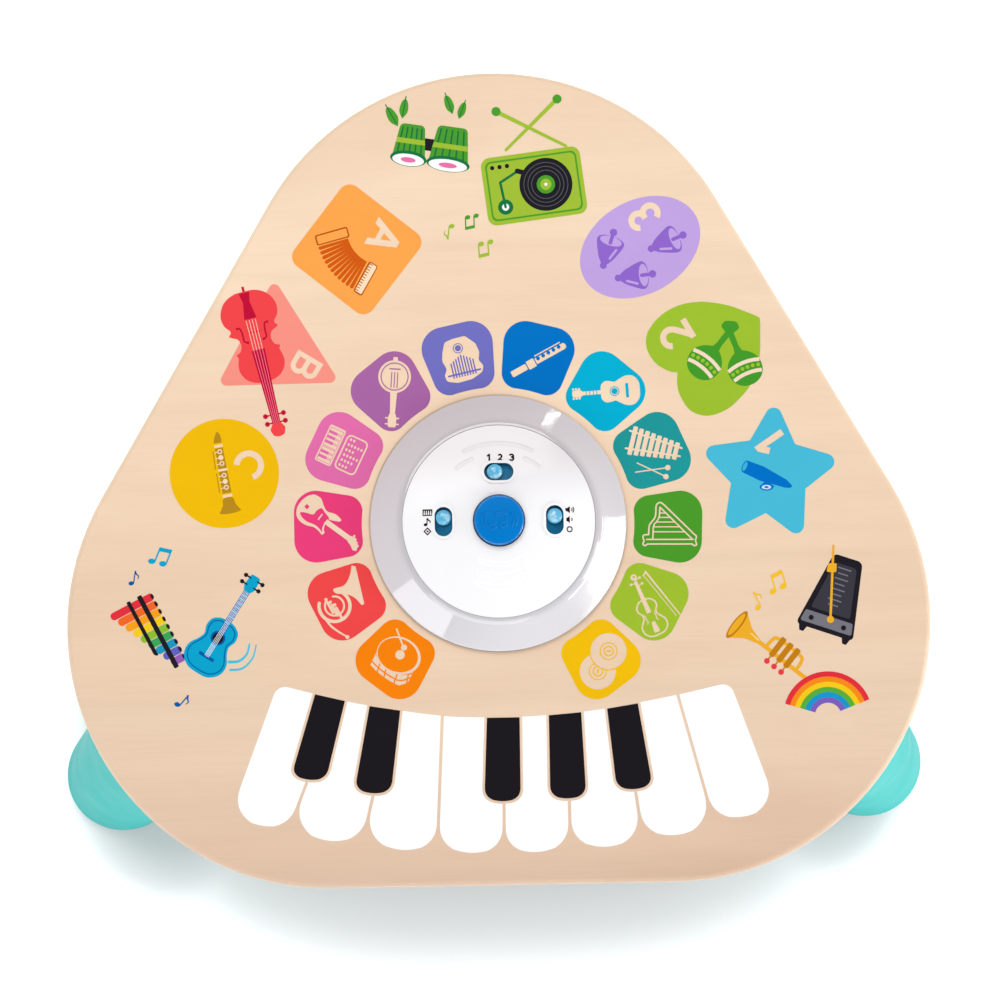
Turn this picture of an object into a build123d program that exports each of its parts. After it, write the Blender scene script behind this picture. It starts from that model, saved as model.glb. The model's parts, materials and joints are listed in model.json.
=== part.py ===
from build123d import *
import os
from math import cos, sin, tan, atan2, radians, degrees, sqrt, hypot

# Musical activity table: a wooden sandwich top on three splayed legs, with a
# raised control unit in its middle that goes through the top and is clamped to
# an electronics tub below it. Millimetres, +Z up. While the model is made, the
# Z axis is the axis of the control unit; at the end everything is moved in the
# XY plane so that the origin is the bottom centre of the whole object's box.

# ----------------------------------------------------------------- dimensions
TOP_Z = 288.0  # height of the wooden surface
PANEL_T = 4.0  # top and bottom panel
FRAME_T = 12.0  # rails and corner blocks between the panels
CORNER_R = 130.5  # radius of the rounded corners of the top
CORNER_D = 98.5  # distance of each corner's centre from the axis
EDGE_R = 3.0  # round-over of the table's edge
RAIL_W = 18.0  # width of the side rails
HOLE_R = 60.0  # hole for the control unit
CORNERS = (90.0, 210.0, 330.0)  # directions of the three corners

FOOT_RADIAL = 263.0  # leg axis at the floor, from the table's axis
LEG_TOP_RADIAL = 178.0  # leg axis at the underside of the table
LEG_R_FOOT = 34.5  # leg radius at the floor
LEG_R_TOP = 39.5  # leg radius at the underside
LEG_EDGE_R = 5.0  # rounded lower edge of the leg
SOCKET_T = 16.5  # thickness of the angled socket, along the leg's axis
SPIGOT_R = 15.0
SPIGOT_L = 34.0
PAD_R = 21.0  # rubber foot pad
PAD_T = 2.4

RING_R = 64.0  # light ring, at the wood
RING_TOP_R = 49.1
RING_TOP_Z = 303.0
RING_SEAT = 0.5  # depth of the rebate in the wood that the ring sits in
SKIRT_R = 59.4
SKIRT_RI = 57.2

COVER_R = 48.5  # domed control cover
DOME_TOP = 309.5
DOME_R = 184.0
COVER_T = 2.0

BUTTON_R = 12.5
BUTTON_HOLE_R = 12.9
BUTTON_TOP = 313.5
BUTTON_TRAVEL = 1.5
SLOT_L = 14.5  # slider slots, end to end
SLOT_W = 8.7
KNOB_R = 3.75
SLIDE_STEP = 2.0  # three positions, 2 mm apart
LANGUAGE_AT = (0.3, 24.2)
MODE_AT = (-27.3, 0.0)
VOLUME_AT = (27.5, 0.0)

BOARD_T = 1.6
CONTROL_BOARD_Z = 296.0
CONTROL_BOARD_R = 44.0
LIGHT_BOARD_Z = 288.8

TUB_R = 68.0
TUB_T = 2.2
TUB_FLANGE_R = 74.0
TUB_FLOOR_Z = 238.0
TUB_FLOOR_T = 2.4
HOUSING_SCREW_R = 53.5  # pitch radius of the four housing screws

SPEAKER_AT = (0.0, 33.0)
SPEAKER_R = 20.0
CELL_R = 7.25  # AA cell
CELL_L = 50.5
CELL_Y = (-9.5, -25.0, -40.5)
BAY_X = 29.0  # half length of the battery bay
BAY_Y = (-48.5, -1.5)
BAY_H = 15.6
DOOR_AXIS_Y = 2.4
DOOR_AXIS_Z = 239.6
DOOR_SCREW_Y = -54.0

UNDER_Z = TOP_Z - 2 * PANEL_T - FRAME_T  # underside of the table, 268
FRAME_LO = UNDER_Z + PANEL_T  # 272
FRAME_HI = TOP_Z - PANEL_T  # 284

os.makedirs("parts", exist_ok=True)
nodes = {}


def polar(r, a):
    return (r * cos(radians(a)), r * sin(radians(a)))


def cyl(r, z0, z1, x=0.0, y=0.0):
    return Pos(x, y, (z0 + z1) / 2) * Cylinder(r, z1 - z0)


def block(x0, x1, y0, y1, z0, z1):
    return Pos((x0 + x1) / 2, (y0 + y1) / 2, (z0 + z1) / 2) * Box(
        x1 - x0, y1 - y0, z1 - z0
    )


def put(name, *shapes):
    """One node: one solid, or a group of separate solids."""
    solids = []
    for s in shapes:
        solids += list(s.solids())
    nodes[name] = solids


def outline(offset):
    """Rounded triangle: three 120 degree arcs and three straight sides."""
    r = CORNER_R + offset
    edges = []
    for a in CORNERS:
        cx, cy = polar(CORNER_D, a)
        pts = []
        for b in (a - 60, a, a + 60):
            dx, dy = polar(r, b)
            pts.append((cx + dx, cy + dy))
        edges.append(ThreePointArc(*pts))
        nx, ny = polar(CORNER_D, a + 120)
        dx, dy = polar(r, a + 60)
        edges.append(Line(pts[2], (nx + dx, ny + dy)))
    return make_face(Curve() + edges)


def slab(offset, z0, z1):
    return Pos(0, 0, z0) * extrude(outline(offset), z1 - z0)


def ring_profile(points, arc=None):
    """Closed (r, z) outline on the XZ plane, ready to revolve about Z."""
    edges = []
    n = len(points)
    for i in range(n):
        p, q = points[i], points[(i + 1) % n]
        a, b = (p[0], 0, p[1]), (q[0], 0, q[1])
        if arc and i in arc:
            m = arc[i]
            edges.append(ThreePointArc(a, (m[0], 0, m[1]), b))
        else:
            edges.append(Line(a, b))
    return make_face(Curve() + edges)


def turn(points, arc=None, angle=360.0, start=0.0):
    shape = revolve(ring_profile(points, arc), Axis.Z, angle)
    return Rot(0, 0, start) * shape


def stadium(length, width, z0, z1, x, y, along_x=True):
    face = SlotOverall(length, width)
    s = Pos(0, 0, z0) * extrude(face, z1 - z0)
    if not along_x:
        s = Rot(0, 0, 90) * s
    return Pos(x, y, 0) * s


def ball(r):
    return Pos(0, 0, DOME_TOP - DOME_R) * Sphere(r)


def screw(head_r, head_h, shank_r, length, recess=1.1):
    """Pan screw pointing up: its head is below z = 0, its shank above."""
    head = cyl(head_r, -head_h, 0)
    head = chamfer(head.edges().group_by(Axis.Z)[0], min(head_h, head_r) * 0.35)
    cross = block(-recess, recess, -0.3, 0.3, -head_h - 0.1, -head_h * 0.45)
    cross += block(-0.3, 0.3, -recess, recess, -head_h - 0.1, -head_h * 0.45)
    body = cyl(shank_r, -0.01, length)
    body = chamfer(body.edges().group_by(Axis.Z)[-1], shank_r * 0.5)
    return head + body - cross


# ------------------------------------------------------------- wooden top
top = slab(0, FRAME_HI, TOP_Z)
top = fillet(top.edges().group_by(Axis.Z)[-1], EDGE_R)
top -= cyl(HOLE_R, FRAME_HI - 1, TOP_Z + 1)
top -= cyl(RING_R + 0.15, TOP_Z - RING_SEAT, TOP_Z + 1)
put("top_panel", top)

bottom = slab(0, UNDER_Z, FRAME_LO)
bottom = fillet(bottom.edges().group_by(Axis.Z)[0], EDGE_R)
bottom -= cyl(HOLE_R, UNDER_Z - 1, FRAME_LO + 1)

# Side rails: straight strips between the corner blocks, with a step on their
# inner edge that the touch film's border doesn't reach.
side_len = CORNER_D * sqrt(3.0)
rails = []
for a in (150.0, 270.0, 30.0):
    mid = CORNER_D / 2 + CORNER_R - RAIL_W / 2
    r = Rot(0, 0, a) * Pos(mid, 0, (FRAME_LO + FRAME_HI) / 2) * Box(
        RAIL_W, side_len - 0.3, FRAME_T
    )
    rails.append(r)
put("side_rails", *rails)

# Corner blocks: solid wood out to the rounded edge, where the legs are fixed.
leg_axis = []
block_inner = 134.0
corners = []
for a in CORNERS:
    u0 = CORNER_D + CORNER_R * 0.5
    v0 = CORNER_R * sin(radians(60))
    pu, pv = u0 - RAIL_W * 0.5, v0 - RAIL_W * sin(radians(60))
    pts = [
        (u0, v0),
        (pu, pv),
        (block_inner, 55.0),
        (block_inner, -55.0),
        (pu, -pv),
        (u0, -v0),
    ]
    edges = [
        Line(pts[0], pts[1]),
        Line(pts[1], pts[2]),
        Line(pts[2], pts[3]),
        Line(pts[3], pts[4]),
        Line(pts[4], pts[5]),
        ThreePointArc(pts[5], (CORNER_D + CORNER_R, 0), pts[0]),
    ]
    b = extrude(make_face(Curve() + edges), FRAME_T)
    corners.append(Rot(0, 0, a) * Pos(0, 0, FRAME_LO) * b)
film_pocket = slab(-RAIL_W, FRAME_HI - 0.6, FRAME_HI + 0.5)

# Ring between the panels round the hole, so the clamped top isn't crushed.
put(
    "center_ring",
    cyl(78.0, FRAME_LO, FRAME_HI - 0.7) - cyl(HOLE_R + 0.3, FRAME_LO - 1, FRAME_HI),
)

# Touch film under the top panel, with copper pads on it under the prints.
film = slab(-RAIL_W - 0.4, FRAME_HI - 0.6, FRAME_HI - 0.2) - cyl(
    62.0, FRAME_HI - 2, FRAME_HI + 2
)
put("touch_film", film)
pads = []
PZ0, PZ1 = FRAME_HI - 0.2, FRAME_HI
for a in (13, 39, 65, 91, 117, 143):
    for s in (-1, 1):
        x, y = polar(85.5, 90 - s * a)
        pads.append(cyl(15.0, PZ0, PZ1, x, y))
for x, y in (
    (-71.0, 136.0),
    (-103.0, 86.0),
    (-137.0, 25.0),
    (71.0, 137.0),
    (103.5, 85.0),
    (135.0, 25.0),
):
    pads.append(cyl(17.0, PZ0, PZ1, x, y))
for k in range(8):
    x = -114.0 + k * 32.5
    lift = 0.0011 * x * x
    pads.append(
        Pos(x, -152.0 + lift, (PZ0 + PZ1) / 2)
        * Rot(0, 0, x * 0.12)
        * Box(26.0, 14.0, PZ1 - PZ0)
    )
for x in (-89.0, -58.5, 3.0, 34.5, 66.5):
    lift = 0.0011 * x * x
    pads.append(
        Pos(x, -112.0 + lift, (PZ0 + PZ1) / 2)
        * Rot(0, 0, x * 0.12)
        * Box(14.0, 34.0, PZ1 - PZ0)
    )
put("touch_pads", *pads)

# Flat tail of the film: in through the skirt's slot, then up to the board.
tail = block(33.0, 61.5, -7, 7, FRAME_HI - 0.6, FRAME_HI - 0.2)
tail += block(33.0, 33.4, -7, 7, FRAME_HI - 0.6, CONTROL_BOARD_Z)
put("film_tail", tail)

# ------------------------------------------------------------- legs
splay = atan2(FOOT_RADIAL - LEG_TOP_RADIAL, UNDER_Z)
axis_dir = (-sin(splay), cos(splay))  # along the leg, upwards, as (radial, z)
leg_len = hypot(FOOT_RADIAL - LEG_TOP_RADIAL, UNDER_Z)
grow = (LEG_R_TOP - LEG_R_FOOT) / leg_len

# Built once, in the XZ plane with +X outwards, then turned to each corner.
LOW, HIGH = -30.0, leg_len + 30.0
axis_plane = Plane(
    origin=(FOOT_RADIAL, 0, 0), x_dir=(cos(splay), 0, sin(splay)),
    z_dir=(axis_dir[0], 0, axis_dir[1]),
)


def on_axis(shape):
    return axis_plane.location * shape


cone = on_axis(
    Pos(0, 0, (LOW + HIGH) / 2)
    * Cone(LEG_R_FOOT + grow * LOW, LEG_R_FOOT + grow * HIGH, HIGH - LOW)
)
LEG_BOTTOM = 1.2
split_at = leg_len - SOCKET_T  # along the axis, from the floor
above_split = on_axis(Pos(0, 0, split_at + 100) * Box(400, 400, 200))
below_split = on_axis(Pos(0, 0, split_at - 0.1 - 300) * Box(400, 400, 600))
spigot = on_axis(Pos(0, 0, split_at - SPIGOT_L / 2 + 1) * Cylinder(SPIGOT_R, SPIGOT_L + 2))
spigot = chamfer(spigot.edges().sort_by(Axis.Z)[0], 1.5)
bore = on_axis(
    Pos(0, 0, split_at - (SPIGOT_L + 1.5) / 2) * Cylinder(SPIGOT_R + 0.15, SPIGOT_L + 1.5)
)

leg = cone & block(0, 400, -100, 100, LEG_BOTTOM, UNDER_Z + 5) & below_split
leg = fillet(leg.edges().group_by(Axis.Z)[0], LEG_EDGE_R)
leg = leg - bore
foot_x = FOOT_RADIAL + LEG_BOTTOM * axis_dir[0] / axis_dir[1]
leg = leg - cyl(PAD_R + 0.2, 0, PAD_T, foot_x, 0)

socket = cone & block(0, 400, -100, 100, 100, UNDER_Z) & above_split
socket = socket + spigot

# Cross screw of each leg: from the inner side, square to the leg's axis.
CROSS_AT = split_at - 18.0
cross_r = LEG_R_FOOT + grow * CROSS_AT
cross_loc = axis_plane.location * Location((0, 0, CROSS_AT), (0, 90, 0))
cross_hole = cross_loc * (
    Pos(0, 0, -(cross_r - 7) / 2) * Cylinder(2.6, cross_r - 7 + 0.02)
    + Pos(0, 0, -cross_r + 1) * Cylinder(5.0, 14.0)
)
leg = leg - cross_hole
socket = socket - cross_loc * (Pos(0, 0, -10) * Cylinder(2.5, 22.0))
# The head's flat side faces inwards along -z of this location.
leg_screw = cross_loc * Pos(0, 0, -cross_r + 8.0) * screw(4.4, 3.0, 2.4, cross_r - 9.5, 2.4)

# Socket screws: three per leg, upright, into the corner block.
socket_screws = []
socket_at = []
for b in (60.0, 180.0, 300.0):
    dx, dy = polar(25.0, b)
    x, y = LEG_TOP_RADIAL + 3.0 + dx, dy
    socket_at.append((x, y))
    socket = socket - cyl(2.3, UNDER_Z - 6, UNDER_Z + 1, x, y)
    socket = socket - cyl(4.6, 200, UNDER_Z - 5, x, y)
    socket_screws.append(Pos(x, y, UNDER_Z - 5) * screw(4.2, 2.8, 2.0, 16.0, 2.2))

names = {90.0: "leg_back", 210.0: "leg_left", 330.0: "leg_right"}
sockets, all_socket_screws, leg_screws, foot_pads = [], [], [], []
for a in CORNERS:
    put(names[a], Rot(0, 0, a) * leg)
    sockets.append(Rot(0, 0, a) * socket)
    leg_screws.append(Rot(0, 0, a) * leg_screw)
    for s in socket_screws:
        all_socket_screws.append(Rot(0, 0, a) * s)
    pad = cyl(PAD_R, 0, PAD_T - 0.05, foot_x, 0)
    pad = chamfer(pad.edges().group_by(Axis.Z)[0], 0.6)
    foot_pads.append(Rot(0, 0, a) * pad)
    for x, y in socket_at:
        hole = Rot(0, 0, a) * cyl(2.05, UNDER_Z - 1, UNDER_Z + 12, x, y)
        bottom -= hole
        corners = [c - hole for c in corners]
put("bottom_panel", bottom)
put("corner_blocks", *[c - film_pocket for c in corners])
put("leg_sockets", *sockets)
put("socket_screws", *all_socket_screws)
put("leg_screws", *leg_screws)
put("foot_pads", *foot_pads)

# ------------------------------------------------------------- light ring
# A low upright rim, a straight cone at 41 degrees, and a softer edge at the top.
ring = turn(
    [
        (RING_R, TOP_Z - RING_SEAT),
        (RING_R, TOP_Z + 2.0),
        (RING_R - 0.6, TOP_Z + 2.9),
        (51.9, TOP_Z + 13.0),
        (RING_TOP_R, RING_TOP_Z),
        (RING_TOP_R - 0.2, RING_TOP_Z),
        (RING_TOP_R - 0.2, 300.5),
        (46.3, 300.5),
        (46.3, 299.0),
        (50.1, 299.0),
        (SKIRT_RI, 292.3),
        (SKIRT_RI, 269.5),
        (SKIRT_R, 269.5),
        (SKIRT_R, TOP_Z - RING_SEAT),
    ],
    arc={
        1: (RING_R - 0.17, TOP_Z + 2.54),
        3: (50.62, TOP_Z + 14.15),
    },
)
for k in range(4):
    x, y = polar(HOUSING_SCREW_R, 45 + 90 * k)
    ring += cyl(4.0, 270.0, 293.0, x, y)
    # Ledges that carry the light board.
    ring += Rot(0, 0, 90 * k) * block(45.0, 57.5, -3, 3, 286.5, LIGHT_BOARD_Z)
for k in range(4):
    x, y = polar(HOUSING_SCREW_R, 45 + 90 * k)
    ring -= cyl(1.55, 269.0, 289.0, x, y)
    ring -= Rot(0, 0, 90 * k) * cyl(0.85, 286.0, 289.5, 47.0, 0)
ring -= block(50, 62, -9, 9, 282.2, 285.6)  # slot for the film's tail
put("light_ring", ring)

light_board = cyl(48.8, LIGHT_BOARD_Z, LIGHT_BOARD_Z + 1.2) - cyl(36.0, 280, 295)
light_sources, light_screws = [], []
for k in range(8):
    x, y = polar(43.5, 22.5 + 45 * k)
    light_sources.append(
        Pos(x, y, LIGHT_BOARD_Z + 1.2 + 0.7) * Rot(0, 0, 22.5 + 45 * k) * Box(3.5, 3.5, 1.4)
    )
for k in range(4):
    light_board -= Rot(0, 0, 90 * k) * cyl(1.0, 280, 295, 47.0, 0)
    s = Rot(180, 0, 0) * screw(1.7, 1.1, 0.8, 3.2, 0.9)
    light_screws.append(Rot(0, 0, 90 * k) * Pos(47.0, 0, LIGHT_BOARD_Z + 1.2) * s)
put("light_board", light_board)
put("light_sources", *light_sources)
put("light_screws", *light_screws)

# ------------------------------------------------------------- control cover
cover = cyl(COVER_R, 300.7, 330) & ball(DOME_R)
cover -= cyl(46.5, 290, 330) & ball(DOME_R - COVER_T)
# Raised lips round the button and the three slots follow the dome.
lips = cyl(BUTTON_HOLE_R + 1.7, 305, 330)
lips += stadium(SLOT_L + 2.6, SLOT_W + 2.6, 305, 330, *LANGUAGE_AT)
lips += stadium(SLOT_L + 2.6, SLOT_W + 2.6, 304, 330, *MODE_AT, along_x=False)
lips += stadium(SLOT_L + 2.6, SLOT_W + 2.6, 304, 330, *VOLUME_AT, along_x=False)
cover += (lips & ball(DOME_R + 0.55)) - ball(DOME_R - 0.5)


def groove(radius, a0, a1, depth=0.3, tool_r=2.8):
    """Shallow arc groove in the dome, with round ends."""
    z = DOME_TOP - (DOME_R - sqrt(DOME_R**2 - radius**2))
    lift = tool_r - depth
    slope = radius / DOME_R
    rr, zz = radius + lift * slope, z + lift
    prof = Plane.XZ * Pos(rr, zz) * Circle(tool_r)
    g = Rot(0, 0, a0) * revolve(prof, Axis.Z, a1 - a0)
    for a in (a0, a1):
        x, y = polar(rr, a)
        g += Pos(x, y, zz) * Sphere(tool_r)
    return g


cover -= groove(38.6, 64, 116)
cover -= groove(33.4, 113, 128)
cover -= groove(33.4, 52, 67)
for radius, half in ((21.5, 27), (27.0, 24), (32.5, 21)):
    cover -= groove(radius, 270 - half, 270 + half)

cover -= cyl(BUTTON_HOLE_R, 290, 330)
cover -= stadium(SLOT_L, SLOT_W, 290, 330, *LANGUAGE_AT)
cover -= stadium(SLOT_L, SLOT_W, 290, 330, *MODE_AT, along_x=False)
cover -= stadium(SLOT_L, SLOT_W, 290, 330, *VOLUME_AT, along_x=False)
# Bosses for the board's screws and snap hooks under the ring's ledge.
BOSS_A = (30.0, 150.0, 270.0)
for a in BOSS_A:
    x, y = polar(40.0, a)
    cover += cyl(3.2, 297.65, 312, x, y) & ball(DOME_R - 0.8)
    cover -= cyl(1.15, 290, 303.0, x, y)
for a in CORNERS:
    hook = turn(
        [(44.7, 303.2), (44.7, 297.7), (46.1, 297.7), (47.4, 298.7), (46.0, 298.75), (46.0, 303.2)],
        angle=14.0,
        start=a - 7.0,
    )
    cover += hook
put("control_cover", cover)

board = cyl(CONTROL_BOARD_R, CONTROL_BOARD_Z, CONTROL_BOARD_Z + BOARD_T)
board_screws = []
for a in BOSS_A:
    x, y = polar(40.0, a)
    board -= cyl(1.3, 290, 300, x, y)
    board_screws.append(Pos(x, y, CONTROL_BOARD_Z) * screw(2.4, 1.4, 1.1, 6.0, 1.3))
put("control_board", board)
put("board_screws", *board_screws)

# ------------------------------------------------------------- start button
BZ = CONTROL_BOARD_Z + BOARD_T  # top of the control board, 297.6
cap = turn(
    [
        (0, 304.9),
        (BUTTON_R, 304.9),
        (BUTTON_R, BUTTON_TOP - 2.0),
        (BUTTON_R - 1.6, BUTTON_TOP - 0.45),
        (BUTTON_R - 1.6, BUTTON_TOP + 1),
        (0, BUTTON_TOP + 1),
    ],
    arc={2: (BUTTON_R - 0.42, BUTTON_TOP - 0.88)},
)
# Slightly crowned top.
crown_r = ((BUTTON_R - 1.6) ** 2 + 0.45**2) / 0.9
cap = cap & (Pos(0, 0, BUTTON_TOP - crown_r) * Sphere(crown_r))
cap += cyl(14.4, 305.3, 306.6)
cap -= cyl(10.6, 300, BUTTON_TOP - 2.5)
cap += cyl(2.6, 302.7, BUTTON_TOP - 2.0)
put("start_button", cap)

tact = block(-3, 3, -3, 3, BZ, BZ + 2.6) + cyl(1.7, BZ + 2.5, 301.0)
put("button_switch", tact)

# Return spring: an open coil between the board and the button's inner face.
SPRING_R, WIRE_R, TURNS = 6.2, 0.35, 5.5
spring_lo, spring_hi = BZ + WIRE_R + 0.02, BUTTON_TOP - 2.5 - WIRE_R - 0.02
coil = Helix(
    pitch=(spring_hi - spring_lo) / TURNS, height=spring_hi - spring_lo, radius=SPRING_R
)
wire_face = Plane(origin=coil @ 0, z_dir=coil % 0) * Circle(WIRE_R)
spring = sweep(wire_face, path=coil)
put("button_spring", Pos(0, 0, spring_lo) * spring)

# ------------------------------------------------------------- sliders
DECK_LO = 302.6


def slider(at, along_x, rest):
    """Translucent slider: a deck under the cover, a domed knob, two prongs.

    Made about its slot with the travel along X, then turned and moved.
    """
    r = hypot(*at)
    deck = block(-10.4, 10.4, -5.6, 5.6, DECK_LO, 312)
    deck = fillet(deck.edges().filter_by(Axis.Z), 2.5)
    # The deck's top follows the inside of the dome with a running gap.
    dome = Pos(0, -r, DOME_TOP - DOME_R) * Sphere(DOME_R - COVER_T - 0.5)
    deck = deck & dome
    knob = cyl(KNOB_R, DECK_LO + 0.5, 309.0)
    cap_z = DOME_TOP - (DOME_R - sqrt(DOME_R**2 - r * r)) + 1.35
    knob = knob & (Pos(0, 0, cap_z - 5.2) * Sphere(5.2))
    prongs = block(1.15, 2.6, -1.4, 1.4, 301.85, DECK_LO + 0.2)
    prongs += block(-2.6, -1.15, -1.4, 1.4, 301.85, DECK_LO + 0.2)
    s = deck + knob + prongs
    lever = block(-1.0, 1.0, -0.8, 0.8, 300.3, 302.4)
    return s, lever


def place(shape, at, turn_deg, shift):
    return Pos(at[0] + shift[0], at[1] + shift[1], 0) * Rot(0, 0, turn_deg) * shape


s, lever = slider(LANGUAGE_AT, True, 0)
put("language_slider", place(s, LANGUAGE_AT, 0, (-SLIDE_STEP, 0)))
put("language_lever", place(lever, LANGUAGE_AT, 0, (-SLIDE_STEP, 0)))
s, lever = slider(MODE_AT, False, 0)
put("mode_slider", place(s, MODE_AT, 90, (0, SLIDE_STEP)))
put("mode_lever", place(lever, MODE_AT, 90, (0, SLIDE_STEP)))
s, lever = slider(VOLUME_AT, False, 0)
put("volume_slider", place(s, VOLUME_AT, -90, (0, SLIDE_STEP)))
put("volume_lever", place(lever, VOLUME_AT, -90, (0, SLIDE_STEP)))

switch = block(-6.4, 6.4, -3.2, 3.2, BZ, 301.6) - block(-3.4, 3.4, -1.1, 1.1, 300.0, 303)
put(
    "slide_switches",
    place(switch, LANGUAGE_AT, 0, (0, 0)),
    place(switch, MODE_AT, 90, (0, 0)),
    place(switch, VOLUME_AT, 90, (0, 0)),
)

# ------------------------------------------------------------- electronics tub
F0, F1 = TUB_FLOOR_Z, TUB_FLOOR_Z + TUB_FLOOR_T
tub = cyl(TUB_R, F0, UNDER_Z)
tub = fillet(tub.edges().group_by(Axis.Z)[0], 3.0)
tub += cyl(TUB_FLANGE_R, UNDER_Z - 2.4, UNDER_Z)
tub -= cyl(TUB_R - TUB_T, F1, UNDER_Z + 1)
bay_roof = F1 + BAY_H
bay = block(-BAY_X - 1.8, BAY_X + 1.8, BAY_Y[0] - 1.8, BAY_Y[1] + 1.8, F1 - 0.2, bay_roof + 1.8)
tub += bay
for k in range(4):
    x, y = polar(HOUSING_SCREW_R, 45 + 90 * k)
    tub += cyl(4.4, F1 - 0.2, 264.8, x, y)
    tub += cyl(3.4, 264.5, 269.3, x, y)
tub += cyl(4.6, F1 - 0.2, 250.0, 0, DOOR_SCREW_Y)
tub += cyl(22.2, F1 - 0.2, 241.8, *SPEAKER_AT) - cyl(20.4, F1 - 1, 244, *SPEAKER_AT)
# Pillars for the speaker's three screws.
SPK_A = (30.0, 150.0, 270.0)
for a in SPK_A:
    dx, dy = polar(24.2, a)
    tub += cyl(2.6, F1 - 0.2, 242.0, SPEAKER_AT[0] + dx, SPEAKER_AT[1] + dy)
# Posts for the main board on the roof of the bay.
MB_Z = bay_roof + 1.8 + 1.4
POSTS = ((-25.0, -45.0), (25.0, -45.0), (-25.0, -6.0), (25.0, -6.0))
for x, y in POSTS:
    tub += cyl(2.6, bay_roof + 1.6, MB_Z, x, y)
# Inside of the bay, the door's opening and its screw tab.
tub -= block(-BAY_X, BAY_X, BAY_Y[0], BAY_Y[1], F1 - 3, bay_roof)
tub -= block(-31.2, 31.2, -50.6, 0.1, F0 - 1, F1)
tub -= block(-16.6, 16.6, 0.0, DOOR_AXIS_Y + 1.95, F0 - 1, F1 + 0.9)
tub -= block(-20.9, 20.9, 0.0, DOOR_AXIS_Y + 1.95, F0 - 1, F1 + 0.9)
tub -= block(-7.3, 7.3, DOOR_SCREW_Y - 5.3, -50.0, F0 - 1, F1)
# Ears that hold the door's stub pins.
for s in (-1, 1):
    x0, x1 = sorted((s * 16.8, s * 21.2))
    ear = block(x0, x1, DOOR_AXIS_Y - 1.9, DOOR_AXIS_Y + 2.4, 238.2, 241.6)
    tub += ear
tub -= Pos(0, DOOR_AXIS_Y, DOOR_AXIS_Z) * Rot(0, 90, 0) * Cylinder(0.95, 40.6)
# Wells and holes of the housing screws.
for k in range(4):
    x, y = polar(HOUSING_SCREW_R, 45 + 90 * k)
    tub -= cyl(3.2, F0 - 1, 262.0, x, y)
    tub -= cyl(1.75, 260.0, 270.0, x, y)
tub -= cyl(3.05, F1 - 0.5, 247.0, 0, DOOR_SCREW_Y)
for x, y in POSTS:
    tub -= cyl(0.95, MB_Z - 2.6, MB_Z + 1, x, y)
for a in SPK_A:
    dx, dy = polar(24.2, a)
    tub -= cyl(0.95, 240.9, 243, SPEAKER_AT[0] + dx, SPEAKER_AT[1] + dy)
# Speaker grille: parallel slots inside a circle.
grille_r = 15.5
for k in range(-4, 5):
    off = k * 3.4
    half = sqrt(max(grille_r**2 - off**2, 1))
    tub -= stadium(
        2 * half, 1.7, F0 - 1, F1 + 1, SPEAKER_AT[0], SPEAKER_AT[1] + off
    )
put("electronics_tub", tub)

housing_screws = []
for k in range(4):
    x, y = polar(HOUSING_SCREW_R, 45 + 90 * k)
    housing_screws.append(Pos(x, y, 262.0) * screw(2.9, 2.4, 1.5, 24.0, 1.6))
put("housing_screws", *housing_screws)

put("door_insert", cyl(3.0, 240.9, 246.9, 0, DOOR_SCREW_Y) - cyl(2.1, 240, 248, 0, DOOR_SCREW_Y))

# ------------------------------------------------------------- battery door
door = block(-30.9, 30.9, -50.3, -0.4, F0, F0 + 2.2)
door += block(-7.0, 7.0, DOOR_SCREW_Y - 5.0, -50.0, F0, F0 + 2.2)
door += block(-16.3, 16.3, -1.0, DOOR_AXIS_Y, F0, F0 + 2.2)
knuckle = Pos(0, DOOR_AXIS_Y, DOOR_AXIS_Z) * Rot(0, 90, 0) * Cylinder(1.6, 32.6)
pin = Pos(0, DOOR_AXIS_Y, DOOR_AXIS_Z) * Rot(0, 90, 0) * Cylinder(0.9, 40.0)
door += knuckle + pin
# Two low ribs that press on the cells and grip lines on the outside.
door -= cyl(2.95, F0 - 1, F0 + 1.2, 0, DOOR_SCREW_Y)
door -= cyl(1.75, F0 - 1, F0 + 3, 0, DOOR_SCREW_Y)
for k in range(3):
    door -= block(-9, 9, -43.0 + k * 2.4, -41.9 + k * 2.4, F0 - 1, F0 + 0.4)
put("battery_door", door)
# Captive screw: turns in the door, with a collar above it, into the insert.
dscrew = Pos(0, DOOR_SCREW_Y, F0 + 1.1) * screw(2.7, 1.1, 1.5, 4.6, 1.5)
put("door_screw", dscrew)

# ------------------------------------------------------------- cells
cell_z = F1 + 0.4 + CELL_R
cells, springs, plates = [], [], []
for i, y in enumerate(CELL_Y):
    s = 1 if i % 2 == 0 else -1
    # The positive end is towards s * X and rests on a plate.
    tip = BAY_X - 0.7
    body = Pos(0, 0, 0) * Cylinder(CELL_R, CELL_L - 1.4)
    body = fillet(body.edges(), 0.6) + Pos(0, 0, CELL_L / 2 - 0.7) * Cylinder(2.7, 1.5)
    c = Rot(0, s * 90, 0) * body
    mid = s * (tip - 1.45 - (CELL_L - 1.4) / 2)
    cells.append(Pos(mid, y, cell_z) * c)
    x0, x1 = sorted((s * (BAY_X - 0.6), s * (BAY_X - 0.1)))
    plates.append(block(x0, x1, y - 5, y + 5, cell_z - 4.5, cell_z + 4.5))
    plates.append(block(-x1, -x0, y - 5, y + 5, cell_z - 4.5, cell_z + 4.5))
    gap_from = -s * (BAY_X - 0.65)
    cell_end = mid - s * (CELL_L - 1.4) / 2
    length = abs(gap_from - cell_end) - 0.1 - 0.8
    h = Helix(pitch=length / 2.5, height=length, radius=3.6)
    w = Plane(origin=h @ 0, z_dir=h % 0) * Circle(0.38)
    sp = sweep(w, path=h)
    sp = Rot(0, s * 90, 0) * sp
    springs.append(Pos(gap_from + s * 0.43, y, cell_z) * sp)
put("battery_cells", *cells)
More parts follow.
